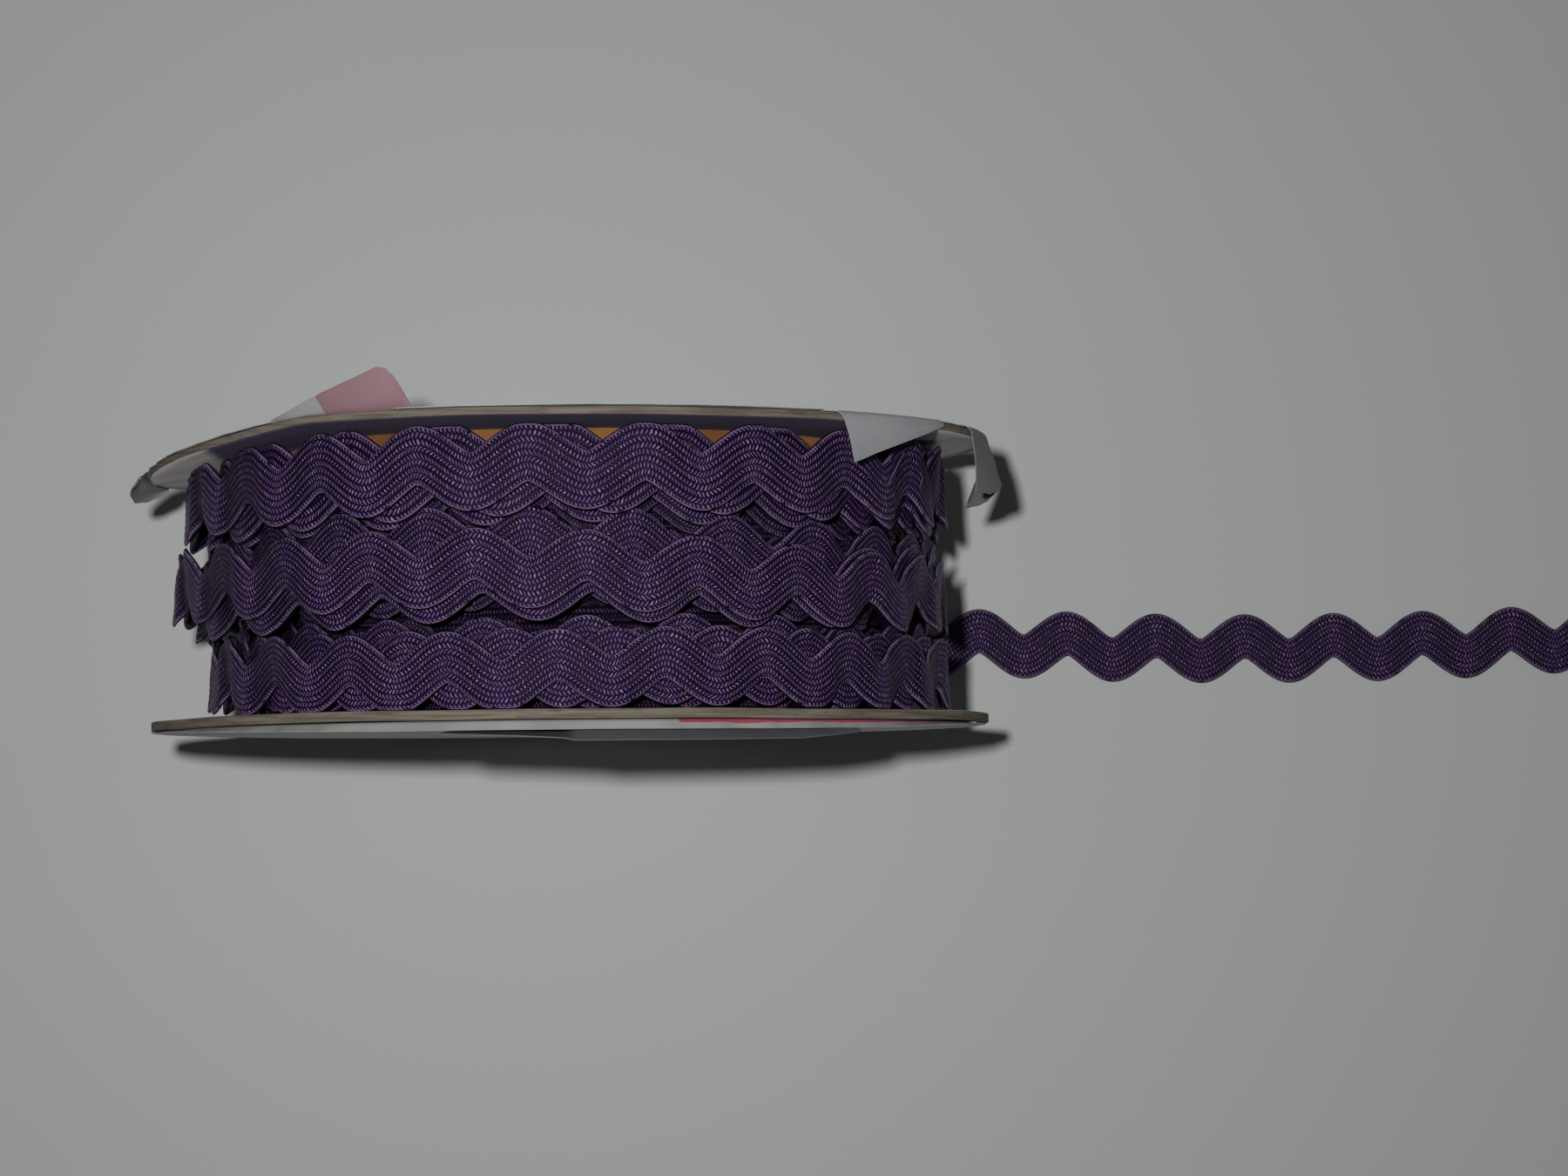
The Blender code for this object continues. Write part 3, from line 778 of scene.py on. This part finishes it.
def wind_row(row, material):
    """One row of the roll: a waving braid wound inwards, turn under turn."""
    count = len(row["turns"])
    samples = int(SAMPLES_PER_WAVE * count * 360.0 / row["wave_angle"])
    degrees = np.linspace(TOP - 180.0, TOP - 180.0 + 360.0 * count, samples)
    angle = np.radians(degrees)
    turn_place = (degrees - TOP) / 360.0
    local = np.mod(degrees, 360.0)
    at_left, at_right = end_shares(local, 1.0)
    left_side, right_side = end_shares(local, 0.5)
    sides = np.minimum(left_side + right_side, 1.0)
    phase = (degrees - row["crest"]) / row["wave_angle"] + between_turns(turn_place, turn_phases(row))
    phase = TURN * (phase + by_end(PHASE_UNEVEN, at_left, at_right) * wander(angle * 1.7, row["seed"]))
    middle = row_middle(row, angle, local, turn_place, at_left, at_right)
    turned_away = smooth_step(0.5 + 0.9 * np.sin(phase + 1.2 + 1.3 * wander(angle * 6.0, row["seed"])))
    ripple = RIPPLE * np.sin(phase + row["seed"]) + sides * (END_RIPPLE_OUT - END_RIPPLE_IN * turned_away)
    radius = row_radius(row, angle, turn_place, at_left, at_right) + ripple
    x_here = radius * np.cos(angle)
    z_here = AXIS_HEIGHT + radius * np.sin(angle)
    highest = DISC_HALF_GAP - far_lean(x_here, z_here) - FAR_DISC_GAP
    lowest = -DISC_HALF_GAP + near_lean(z_here) + NEAR_DISC_GAP
    swing = 1.0 + SWING_UNEVEN * wander(angle * 4.0, row["seed"] + 3.0)
    half_band = row["half_band"] + turn_values(row, "widen", turn_place)
    soft, notched = braid_edges(middle, half_band, row["raised_edge"], swing, phase, lowest, highest)
    across, height, reading = band_section(WOUND_THICKNESS)
    side = 2.0 * across[None, :] - 1.0
    lift = by_end(EDGE_LIFT, at_left, at_right) * np.cos(phase)
    flare = lift[:, None] * side * np.abs(side)
    reach = radius[:, None] + height[None, :] + flare
    x = reach * np.cos(angle)[:, None]
    z = AXIS_HEIGHT + reach * np.sin(angle)[:, None]
    points = np.stack([x, braid_lines(soft, notched, across), z], axis=-1)
    along = weave_along(angle * WOUND_RADIUS, soft[0], soft[1], across)
    # Painted shade on the flanks turned away from the light at the roll's two ends
    side_shade = by_end(END_SHADE, left_side, right_side) * turned_away
    shade = np.minimum(between_turns(turn_place, TURN_SHADE) + side_shade, DEEPEST_SHADE)
    name = "winding_" + row["name"] + "_row"
    braid_piece(name, "winding", points, along, reading, phase, shade, material)


def wind_core(material):
    """The turns too deep to tell apart: a ribbed drum between the discs."""
    sides = 240
    count = 120
    angle = np.linspace(0.0, TURN, sides + 1)
    along = np.linspace(-DISC_HALF_GAP + 0.35, DISC_HALF_GAP - 2.6, count)
    ripple = 0.5 * np.sin(along * TURN / CORE_STRAND)[None, :] + 0.7 * np.sin(CORE_RIDGES * angle)[:, None]
    radius = CORE_RADIUS + ripple
    radius[:, 0] = 0.01
    radius[:, -1] = 0.01
    radius[:, 1] = CORE_RADIUS - 1.0
    radius[:, -2] = CORE_RADIUS - 1.0
    along_all = np.repeat(along[None, :], sides + 1, axis=0)
    along_all[:, 1] = along_all[:, 0]
    along_all[:, -2] = along_all[:, -1]
    x = CORE_SHIFT + radius * np.cos(angle)[:, None]
    z = AXIS_HEIGHT + radius * np.sin(angle)[:, None]
    points = np.stack([x, along_all, z], axis=-1)
    uvs = np.stack(
        [np.repeat((angle * CORE_RADIUS)[:, None], count, axis=1), along_all * 1.6 + 60.0], axis=-1)
    piece = grid_piece("winding_core", points, uvs, np.full((sides + 1, 2), (0.5, CORE_SHADE)))
    finish_strand(piece, "winding", material)


def stray_fibre(name, route, material):
    """A single fibre standing off the braid: its route from root to tip, as a fine round strand."""
    knots = np.array(route, float)
    stretches = len(knots) - 1
    place = np.linspace(0.0, stretches, 8 * stretches + 1)
    middle = np.stack([np.interp(place, np.arange(len(knots)), line) for line in knots.T], axis=-1)
    soften_line(middle, 6)
    ahead = np.gradient(middle, axis=0)
    ahead /= np.linalg.norm(ahead, axis=1)[:, None]
    side = np.cross(ahead, (0.0, 0.0, 1.0))
    side /= np.linalg.norm(side, axis=1)[:, None]
    above = np.cross(side, ahead)
    around = np.linspace(0.0, TURN, 6)
    thick = FIBRE_RADIUS * np.linspace(1.0, 0.5, len(middle))[:, None, None]
    ring = np.cos(around)[None, :, None] * side[:, None, :]
    ring = ring + np.sin(around)[None, :, None] * above[:, None, :]
    points = middle[:, None, :] + thick * ring
    piece = grid_piece(name, points, np.zeros(points.shape[:2] + (2,)))
    finish_strand(piece, "winding", material)


# The loose end

def tail_middle(x):
    """The loose end's middle line, with its corners rounded by averaging over a short stretch."""
    xs, ys = zip(*TAIL_ROUTE)
    total = np.zeros_like(x)
    offsets = np.linspace(-TAIL_CORNER_SPREAD, TAIL_CORNER_SPREAD, TAIL_CORNER_SAMPLES)
    for offset in offsets:
        total += np.interp(x + offset, xs, ys)
    return total / len(offsets)


def lay_tail(material):
    """The loose end: off the roll's underside, down to the table and away to the side."""
    start = TAIL_ROUTE[0][0]
    samples = int((TAIL_REACH - start) / TAIL_WAVE_LENGTH * TAIL_SAMPLES_PER_WAVE)
    x = np.linspace(start, TAIL_REACH, samples)
    phase = TURN * (x - TAIL_FIRST_CREST) / TAIL_WAVE_LENGTH
    soft, notched = braid_edges(tail_middle(x), HALF_BAND, 0.0, 1.0, phase)
    underside = TAIL_START_HEIGHT * (1.0 - smooth_step(x / TAIL_TOUCHES_TABLE))
    across, height, reading = band_section(THICKNESS)
    lines = braid_lines(soft, notched, across)
    heights = underside[:, None] + THICKNESS / 2.0 + height[None, :]
    points = np.stack([np.repeat(x[:, None], len(across), axis=1), lines, heights], axis=-1)
    along = weave_along(x, soft[0], soft[1], across)
    piece = braid_piece("loose_end", "tail", points, along, reading, phase, TAIL_SHADE, material)


# Boards

def cut_disc(name, low, radius, thickness, rings):
    """A round board: a disc primitive grown ring by ring, given its thickness, its edge softened."""
    deselect_all()
    bpy.ops.mesh.primitive_circle_add(
        vertices=DISC_SIDES, radius=rings[0], fill_type="TRIFAN",
        rotation=(math.radians(90.0), 0.0, 0.0))
    disc = bpy.context.active_object
    disc.name = name
    disc.data.name = name
    bpy.ops.object.transform_apply(location=True, rotation=True, scale=True)
    bpy.ops.object.mode_set(mode="EDIT")
    bpy.ops.mesh.select_mode(type="EDGE")
    bpy.ops.mesh.select_all(action="DESELECT")
    bpy.ops.mesh.select_non_manifold(extend=False)
    for inner, outer in zip(rings, rings[1:] + (radius,)):
        grow = outer / inner
        bpy.ops.mesh.extrude_region_move()
        bpy.ops.transform.resize(value=(grow, 1.0, grow), center_override=(0.0, 0.0, 0.0))
    bpy.ops.mesh.select_mode(type="FACE")
    bpy.ops.mesh.select_all(action="SELECT")
    bpy.ops.mesh.normals_make_consistent(inside=False)
    bpy.ops.mesh.extrude_region_move()
    bpy.ops.transform.translate(value=(0.0, thickness, 0.0))
    bpy.ops.mesh.select_all(action="SELECT")
    bpy.ops.mesh.normals_make_consistent(inside=False)
    bpy.ops.object.mode_set(mode="OBJECT")
    soften = disc.modifiers.new("soft edge", "BEVEL")
    soften.width = RIM_SOFTNESS
    soften.segments = 2
    soften.limit_method = "ANGLE"
    soften.angle_limit = math.radians(50.0)
    apply_modifiers(disc)
    points = read_points(disc.data)
    points[:, 1] += low
    return disc, points


def settle_disc(disc, points, far):
    """Board that has been handled: a slightly uneven rim, its flat spot, and the far one's bent end."""
    angle = np.arctan2(points[:, 2], points[:, 0])
    reach = np.hypot(points[:, 0], points[:, 2])
    worn = WORN_LEFT * np.exp(-((math.pi - np.abs(angle)) / WORN_SPREAD) ** 2)
    near_rim = np.clip((reach - 50.0) / 5.0, 0.0, 1.0)
    uneven = (RIM_UNEVEN * wander(angle * 9.0, 1.0 + far) - worn) * near_rim
    points[:, 0] += uneven * np.cos(angle)
    points[:, 2] += uneven * np.sin(angle)
    points[:, 2] = np.maximum(points[:, 2] + AXIS_HEIGHT, 0.0)
    inside = np.abs(points[:, 1]) < DISC_HALF_GAP + DISC_THICKNESS / 2.0
    if far:
        pressed_here = PRESSED * np.clip((reach - 44.0) / 8.0, 0.0, 1.0)
        points[:, 1] += pressed_here * np.where(inside, 1.0, -0.6)
        points[:, 1] -= far_lean(points[:, 0], points[:, 2])
    else:
        points[:, 1] += near_lean(points[:, 2])
    outwards = np.clip((reach - 30.0) / 25.0, 0.0, 1.0)
    points[:, 1] += BOARD_UNEVEN * wander(angle * 3.0, 2.0 + far) * outwards
    place_points(disc.data, points)


def colour_disc(disc, edge, inner, outer, inner_sign):
    """The rim shows the board's plies; each face has its own lining."""
    mesh = disc.data
    mesh.materials.clear()
    for material in (edge, inner, outer):
        mesh.materials.append(material)
    for face in mesh.polygons:
        if abs(face.normal.y) < 0.75:
            face.material_index = 0
        elif face.normal.y * inner_sign > 0.0:
            face.material_index = 1
        else:
            face.material_index = 2


def build_disc(name, far, node, edge, inner, outer):
    """One of the spool's two boards, with its rim, its lining and its outer face."""
    low = DISC_HALF_GAP if far else -DISC_OUTER
    disc, points = cut_disc(name, low, DISC_RADIUS, DISC_THICKNESS, DISC_RINGS)
    settle_disc(disc, points, far)
    select_only(disc)
    bpy.ops.object.shade_smooth_by_angle(angle=math.radians(40.0))
    colour_disc(disc, edge, inner, outer, -1.0 if far else 1.0)
    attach(disc, "root")
    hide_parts(node)


def build_kraft_ply(material):
    """The inner ply of the far disc, seen as small kraft patches in the notches of the far row."""
    low = DISC_HALF_GAP - KRAFT_THICKNESS
    ply, points = cut_disc("kraft_ply_far", low, KRAFT_RADIUS, KRAFT_THICKNESS, KRAFT_RINGS)
    points[:, 2] += AXIS_HEIGHT
    points[:, 1] -= far_lean(points[:, 0], points[:, 2])
    place_points(ply.data, points)
    finish_piece(ply, material, 40.0)


# The paper labels

# A flap runs past the rim and over it, towards the winding: its reach from the paper's face, the radius at
# its tip and how far the tip slides along x
FLAP_VALUES = "angle reach tip slide"
TRIANGLE_FLAP = rows_of(
    FLAP_VALUES,
    (50.0, 6.3, 54.5, 2.6),
    (47.0, 5.7, 54.8, 1.5),
    (44.0, 4.9, 55.2, 0.8),
    (40.0, 3.8, 55.7, 0.3),
    (36.0, 2.7, 56.0, 0.1),
    (32.0, 1.6, 56.2, 0.0),
    (29.0, 0.9, 56.1, 0.0),
)
RIGHT_CURL = rows_of(
    FLAP_VALUES,
    (18.0, 8.4, 56.6, -0.2),
    (14.0, 8.6, 57.4, -0.2),
    (10.0, 7.8, 57.8, 0.0),
    (6.0, 7.2, 57.6, 0.0),
    (1.0, 8.6, 55.8, 0.0),
    (-3.0, 9.4, 53.2, 0.0),
    (-7.0, 5.4, 56.4, 0.0),
    (-12.0, 2.2, 56.7, 0.0),
)
LEFT_CURL = rows_of(
    FLAP_VALUES,
    (193.0, 1.4, 56.4, 0.0),
    (189.0, 2.3, 58.0, 0.0),
    (185.0, 2.5, 58.7, 0.0),
    (180.0, 1.9, 58.3, 0.0),
    (176.0, 1.5, 57.6, 0.0),
    (171.0, 0.8, 56.4, 0.0),
)

# A peel stands off the board from its root to its outer edge, where it may be cut short
PEEL_VALUES = "angle root stand_off cut"
PINK_PEEL = rows_of(
    PEEL_VALUES,
    (110.0, 47.3, 5.9, 5.6),
    (111.0, 47.3, 5.9, 3.2),
    (112.0, 47.3, 5.9, 1.5),
    (113.0, 47.5, 5.8, 0.3),
    (114.0, 47.7, 5.6, 0.0),
    (118.0, 49.4, 3.8, 0.0),
    (122.0, 51.4, 2.1, 0.0),
    (126.0, 53.4, 0.9, 0.0),
    (129.0, 54.0, 0.2, 0.0),
)
FAR_SPRUNG_EDGE = rows_of(
    PEEL_VALUES,
    (52.0, 53.8, 0.12, 0.0),
    (75.0, 53.8, 0.15, 0.0),
    (110.0, 53.8, 0.12, 0.0),
)
NEAR_SPRUNG_EDGE = rows_of(
    PEEL_VALUES,
    (14.0, 53.4, 0.15, 0.0),
    (28.0, 53.2, 0.5, 0.0),
    (42.0, 53.2, 0.95, 0.0),
    (60.0, 53.1, 1.15, 0.0),
    (112.0, 53.1, 1.1, 0.0),
    (132.0, 53.2, 0.75, 0.0),
    (150.0, 53.4, 0.4, 0.0),
    (170.0, 53.6, 0.1, 0.0),
)

# A strip of the near label's outer layer that has come away: its root and how far its edge stands off
TORN_STRIP = rows_of(
    "angle root stand_off",
    (46.0, 52.6, 1.35),
    (50.0, 51.4, 1.75),
    (56.0, 50.6, 2.2),
    (70.0, 50.4, 2.35),
    (86.5, 50.4, 2.35),
    (88.0, 43.0, 2.05),
    (94.0, 43.0, 1.75),
    (104.0, 43.0, 1.4),
)
STRIP_ROWS = 10
FLAT_RADII = (0.02, 12.0, 24.0, 34.0, 41.0, 45.5)
PAPER_FACE = DISC_OUTER + GLUE + PAPER / 2.0
EDGE_ROWS = 12
FLAP_ROWS = 20
PAPER_STEP = 1.0
TEAR_STEP = 0.01


def read(table, degrees, answer):
    """A value from a table at an angle between its rows."""
    ordered = sorted(table, key=lambda row: row["angle"])
    angles = [row["angle"] for row in ordered]
    return float(np.interp(degrees, angles, [row[answer] for row in ordered]))


def signed(degrees):
    """The last stretch below the loose end's side, counted backwards from it."""
    return degrees - 360.0 if degrees > 300.0 else degrees


def within(table, degrees):
    """Whether a table reaches over an angle."""
    angles = [row["angle"] for row in table]
    return min(angles) - 1e-6 <= degrees <= max(angles) + 1e-6


def peel_path(stand_off, root, edge, cut):
    """Paper lifting off the board in a smooth curve, keeping its length."""
    share = np.linspace(0.0, 1.0, EDGE_ROWS + 1)
    length = edge - root
    steepest = min(stand_off / length, 0.93) * 1.25
    slope = np.clip(steepest * np.minimum(1.0, share * 2.2), 0.0, 0.97)
    step = length / EDGE_ROWS
    away = running(slope[1:] * step)
    out = running(np.sqrt(1.0 - slope[1:] ** 2) * step)
    away = away * stand_off / away[-1]
    kept = share * (1.0 - cut / length)
    return root + np.interp(kept, share, out), np.interp(kept, share, away)


def flap_path(reach, tip, edge):
    """Paper bent round the rim and on towards the winding: radius, and distance from the paper's face."""
    rim = DISC_RADIUS + PAPER_OFF_RIM + PAPER / 2.0
    corners = [
        (edge, 0.0),
        (rim - 0.1, -0.02),
        (rim + 0.12, -0.3),
        (rim + 0.15, -min(0.9, 0.4 * reach)),
        (rim + 0.5 * (tip - rim) + 0.35, -0.55 * reach),
        (rim + 0.85 * (tip - rim) + 0.12, -0.85 * reach),
        (tip, -reach),
    ]
    radii = np.array([corner[0] for corner in corners])
    ins = np.array([corner[1] for corner in corners])
    travelled = running(np.hypot(np.diff(radii), np.diff(ins)))
    even = np.linspace(0.0, travelled[-1], FLAP_ROWS + 1)
    radii = np.interp(even, travelled, radii)
    ins = np.interp(even, travelled, ins)
    soften_line(radii, 3)
    soften_line(ins, 3)
    return radii[1:], ins[1:]


def table_at(tables, degrees):
    """The first of the tables that reaches over an angle."""
    for table in tables:
        if within(table, degrees):
            return table
    return None


def paper_columns(peels, flaps):
    """Every column of the sheet: angle, peel and flap. A tear has one column on each side."""
    columns = []
    for degrees in np.arange(0.0, 360.0, PAPER_STEP):
        flap = table_at(flaps, signed(degrees))
        before = table_at(peels, degrees - TEAR_STEP)
        after = table_at(peels, degrees + TEAR_STEP)
        columns.append({"angle": degrees, "peel": before, "flap": flap})
        if after is not before:
            columns.append({"angle": degrees, "peel": after, "flap": flap})
    columns.append(dict(columns[0], angle=360.0))
    return columns


def paper_column(column, span, seed):
    """One column of a label, outwards: its radii, its distances off the paper's face, its slide along x."""
    degrees = column["angle"]
    paper_root, paper_edge = span
    angle = math.radians(degrees)
    coarse = TORN_COARSE * wander(np.array(angle * 21.0), seed)
    torn = float(coarse + TORN_FINE * wander(np.array(angle * 60.0), seed))
    edge = paper_edge if column["flap"] else paper_edge + torn - TORN_SHORT
    peel = column["peel"]
    if peel:
        stand_off, root, cut = (read(peel, degrees, key) for key in ("stand_off", "root", "cut"))
        radii, away = peel_path(stand_off, root, edge, cut)
    else:
        radii = np.linspace(paper_root, edge, EDGE_ROWS + 1)
        away = np.zeros(EDGE_ROWS + 1)
    flap = column["flap"]
    if flap:
        reach, tip, slip = (read(flap, signed(degrees), key) for key in ("reach", "tip", "slide"))
        ragged = CUT_FLAP_RAGGED if flap is TRIANGLE_FLAP else TORN_FLAP_RAGGED
        flap_radii, flap_in = flap_path(reach + ragged * torn, tip, paper_edge)
        slide = slip * np.linspace(0.0, 1.0, FLAP_ROWS)
    else:
        flap_radii = np.full(FLAP_ROWS, radii[-1])
        flap_in = np.full(FLAP_ROWS, away[-1])
        slide = np.zeros(FLAP_ROWS)
    radius = np.concatenate([FLAT_RADII, radii, flap_radii])
    off = np.concatenate([np.zeros(len(FLAT_RADII)), away, flap_in])
    along_x = np.concatenate([np.zeros(len(radius) - FLAP_ROWS), slide])
    return radius, off, along_x


def thicken_paper(piece):
    """Give a sheet of paper its thickness."""
    thicken = piece.modifiers.new("paper", "SOLIDIFY")
    thicken.thickness = PAPER * MM
    thicken.offset = 0.0
    apply_modifiers(piece)


def build_label(name, node, outward, span, peels, flaps, material, seed):
    """One label glued on its disc, with peeled, torn and folded-over stretches."""
    columns = paper_columns(peels, flaps)
    count = len(columns)
    rows = len(FLAT_RADII) + EDGE_ROWS + 1 + FLAP_ROWS
    points = np.zeros((rows, count, 3))
    uvs = np.zeros((rows, count, 2))
    for index, column in enumerate(columns):
        radius, off, along_x = paper_column(column, span, seed)
        angle = math.radians(column["angle"])
        x = radius * math.cos(angle) + along_x
        z = np.maximum(AXIS_HEIGHT + radius * math.sin(angle), PAPER_OVER_TABLE)
        y = PAPER_FACE + off - (far_lean(x, z) if outward > 0 else near_lean(z))
        points[:, index] = np.stack([x, y * outward, z], axis=-1)
        uvs[:, index, 0] = column["angle"]
        uvs[:, index, 1] = radius[0] + running(np.hypot(np.diff(radius), np.diff(off)))
    piece = grid_piece(name, points, uvs)
    cut_away_faces(piece, columns)
    thicken_paper(piece)
    finish_piece(piece, material, 50.0)
    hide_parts(node)


def build_torn_strip(material):
    """A strip of the near label's outer layer, come away from the rest along the top."""
    first = TORN_STRIP[0]["angle"]
    last = TORN_STRIP[-1]["angle"]
    count = int(last - first) * 2 + 1
    points = np.zeros((STRIP_ROWS, count, 3))
    uvs = np.zeros((STRIP_ROWS, count, 2))
    share = np.linspace(0.0, 1.0, STRIP_ROWS)
    for index, degrees in enumerate(np.linspace(first, last, count)):
        angle = math.radians(degrees)
        root = read(TORN_STRIP, degrees, "root")
        stand_off = read(TORN_STRIP, degrees, "stand_off")
        edge = NEAR_PAPER_EDGE - STRIP_SHORT + TORN_FINE * float(wander(np.array(angle * 30.0), 5.0))
        radius = root + (edge - root) * share
        z = AXIS_HEIGHT + radius * math.sin(angle)
        points[:, index, 0] = radius * math.cos(angle)
        points[:, index, 1] = near_lean(z) - PAPER_FACE - 2.0 * PAPER - (stand_off - PAPER) * share
        points[:, index, 2] = z
        uvs[:, index, 0] = degrees
        uvs[:, index, 1] = radius
    piece = grid_piece("label_torn_strip_near", points, uvs)
    thicken_paper(piece)
    finish_piece(piece, material, 50.0)
    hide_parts("label_near")


def cut_away_faces(piece, columns):
    """Remove the faces between flap and plain paper and between a tear's two sides; close the ring."""
    count = len(columns)
    edge_row = len(FLAT_RADII) + EDGE_ROWS
    root_row = len(FLAT_RADII)
    mesh = piece.data
    select_only(piece)
    bpy.ops.object.mode_set(mode="EDIT")
    bpy.ops.mesh.select_mode(type="FACE")
    bpy.ops.mesh.select_all(action="DESELECT")
    bpy.ops.object.mode_set(mode="OBJECT")
    for face in mesh.polygons:
        cells = [(index // count, index % count) for index in face.vertices]
        row = min(cell[0] for cell in cells)
        column = min(cell[1] for cell in cells)
        here = columns[column]
        after = columns[column + 1]
        torn = here["angle"] == after["angle"] and row >= root_row
        past_edge = row >= edge_row and (here["flap"] is None or after["flap"] is not here["flap"])
        face.select = torn or past_edge
    bpy.ops.object.mode_set(mode="EDIT")
    bpy.ops.mesh.delete(type="FACE")
    bpy.ops.mesh.select_all(action="SELECT")
    bpy.ops.mesh.remove_doubles(threshold=2e-6)
    bpy.ops.mesh.select_all(action="SELECT")
    bpy.ops.mesh.normals_make_consistent(inside=False)
    bpy.ops.object.mode_set(mode="OBJECT")


# The stage

def build_stage():
    """The plain pale floor."""
    deselect_all()
    bpy.ops.mesh.primitive_plane_add(size=3.0, location=(0.0, 0.0, -0.0001))
    floor = bpy.context.active_object
    floor.name = "floor"
    material, _, shader = new_material("pale_floor", 0.9, 0.1)
    shader.inputs["Base Color"].default_value = linear(202, 204, 203)
    floor.data.materials.append(material)


def build_lights():
    """A soft room and a small flash close beside the camera."""
    world = bpy.data.worlds.new("soft room")
    bpy.context.scene.world = world
    world.use_nodes = True
    background = world.node_tree.nodes["Background"]
    background.inputs["Color"].default_value = (0.98, 1.0, 1.0, 1.0)
    background.inputs["Strength"].default_value = 0.038
    flash = bpy.data.lights.new("flash", "AREA")
    flash.shape = "DISK"
    flash.size = 0.016
    flash.energy = 0.5
    flash.spread = math.radians(90.0)
    lamp = bpy.data.objects.new("flash", flash)
    place = in_frame(FLASH_PLACE)
    lamp.location = place
    aim = Vector(in_frame(FLASH_AIM)) - Vector(place)
    lamp.rotation_euler = aim.to_track_quat("-Z", "Y").to_euler()
    bpy.context.scene.collection.objects.link(lamp)


def build_camera():
    """The photograph's view, almost straight down."""
    camera_data = bpy.data.cameras.new("camera")
    camera_data.lens = CAMERA_LENS
    camera_data.sensor_width = 36.0
    camera_data.clip_end = 10.0
    camera = bpy.data.objects.new("camera", camera_data)
    camera.location = in_frame(CAMERA_PLACE)
    camera.rotation_euler = (math.radians(CAMERA_TILT), 0.0, math.radians(CAMERA_ROLL))
    bpy.context.scene.collection.objects.link(camera)
    bpy.context.scene.camera = camera
    bpy.context.scene.view_settings.view_transform = "Standard"


def build_ric_rac():
    """The roll's rows, its core, the loose end and the stray fibres."""
    purple = ric_rac_material("purple_ric_rac", braid_stitches_group())
    for row in ROWS:
        wind_row(row, purple)
    wind_core(purple)
    lay_tail(purple)
    fibre = fibre_material()
    for number, route in enumerate(STRAY_FIBRES, 1):
        stray_fibre("stray_fibre_" + str(number), route, fibre)


def build_spool():
    """Both discs and the kraft ply."""
    edge = chipboard_edge_material()
    outer = board_face_material("grey_board_face", linear(120, 112, 108), linear(96, 90, 88))
    lining = board_face_material(
        "lined_board_face", linear(222, 218, 216), linear(204, 199, 196), (LINING_IN_PAINTED_SHADE, *LINING_SHADE_SPAN))
    kraft = board_face_material("kraft_ply", linear(150, 102, 58), linear(114, 72, 44))
    build_disc("disc_near", False, "flange_near", edge, lining, outer)
    build_disc("disc_far", True, "flange_far", edge, lining, outer)
    build_kraft_ply(kraft)


def build_papers():
    """Both labels and the torn strip, plain but for a red border and a pink corner."""
    border = (linear(190, 88, 104), (20.0, 73.0), (NEAR_PAPER_ROOT, NEAR_PAPER_ROOT + RED_BORDER))
    pink_corner = (linear(161, 127, 133), (109.5, 121.8), (FAR_PAPER_ROOT, PAST_ANY_FLAP))
    curl_grey = linear(134, 133, 136)
    curl_lengths = (FAR_PAPER_EDGE + 0.3, PAST_ANY_FLAP)
    curls = [(curl_grey, angles, curl_lengths) for angles in ((-1.0, 19.5), (346.0, 361.0))]
    near_paper = paper_material("near_label_paper", linear(176, 176, 174), [border])
    far_paper = paper_material("far_label_paper", linear(178, 178, 182), [pink_corner] + curls)
    torn_paper = paper_material("torn_paper", linear(104, 106, 109))
    near_span = (NEAR_PAPER_ROOT, NEAR_PAPER_EDGE)
    far_span = (FAR_PAPER_ROOT, FAR_PAPER_EDGE)
    far_peels = (PINK_PEEL, FAR_SPRUNG_EDGE)
    flaps = (TRIANGLE_FLAP, RIGHT_CURL, LEFT_CURL)
    build_label("label_paper_near", "label_near", -1.0, near_span, (NEAR_SPRUNG_EDGE,), (), near_paper, 0.4)
    build_torn_strip(torn_paper)
    build_label("label_paper_far", "label_far", 1.0, far_span, far_peels, flaps, far_paper, 1.9)


build_camera()
build_lights()
build_stage()
build_ric_rac()
build_spool()
build_papers()
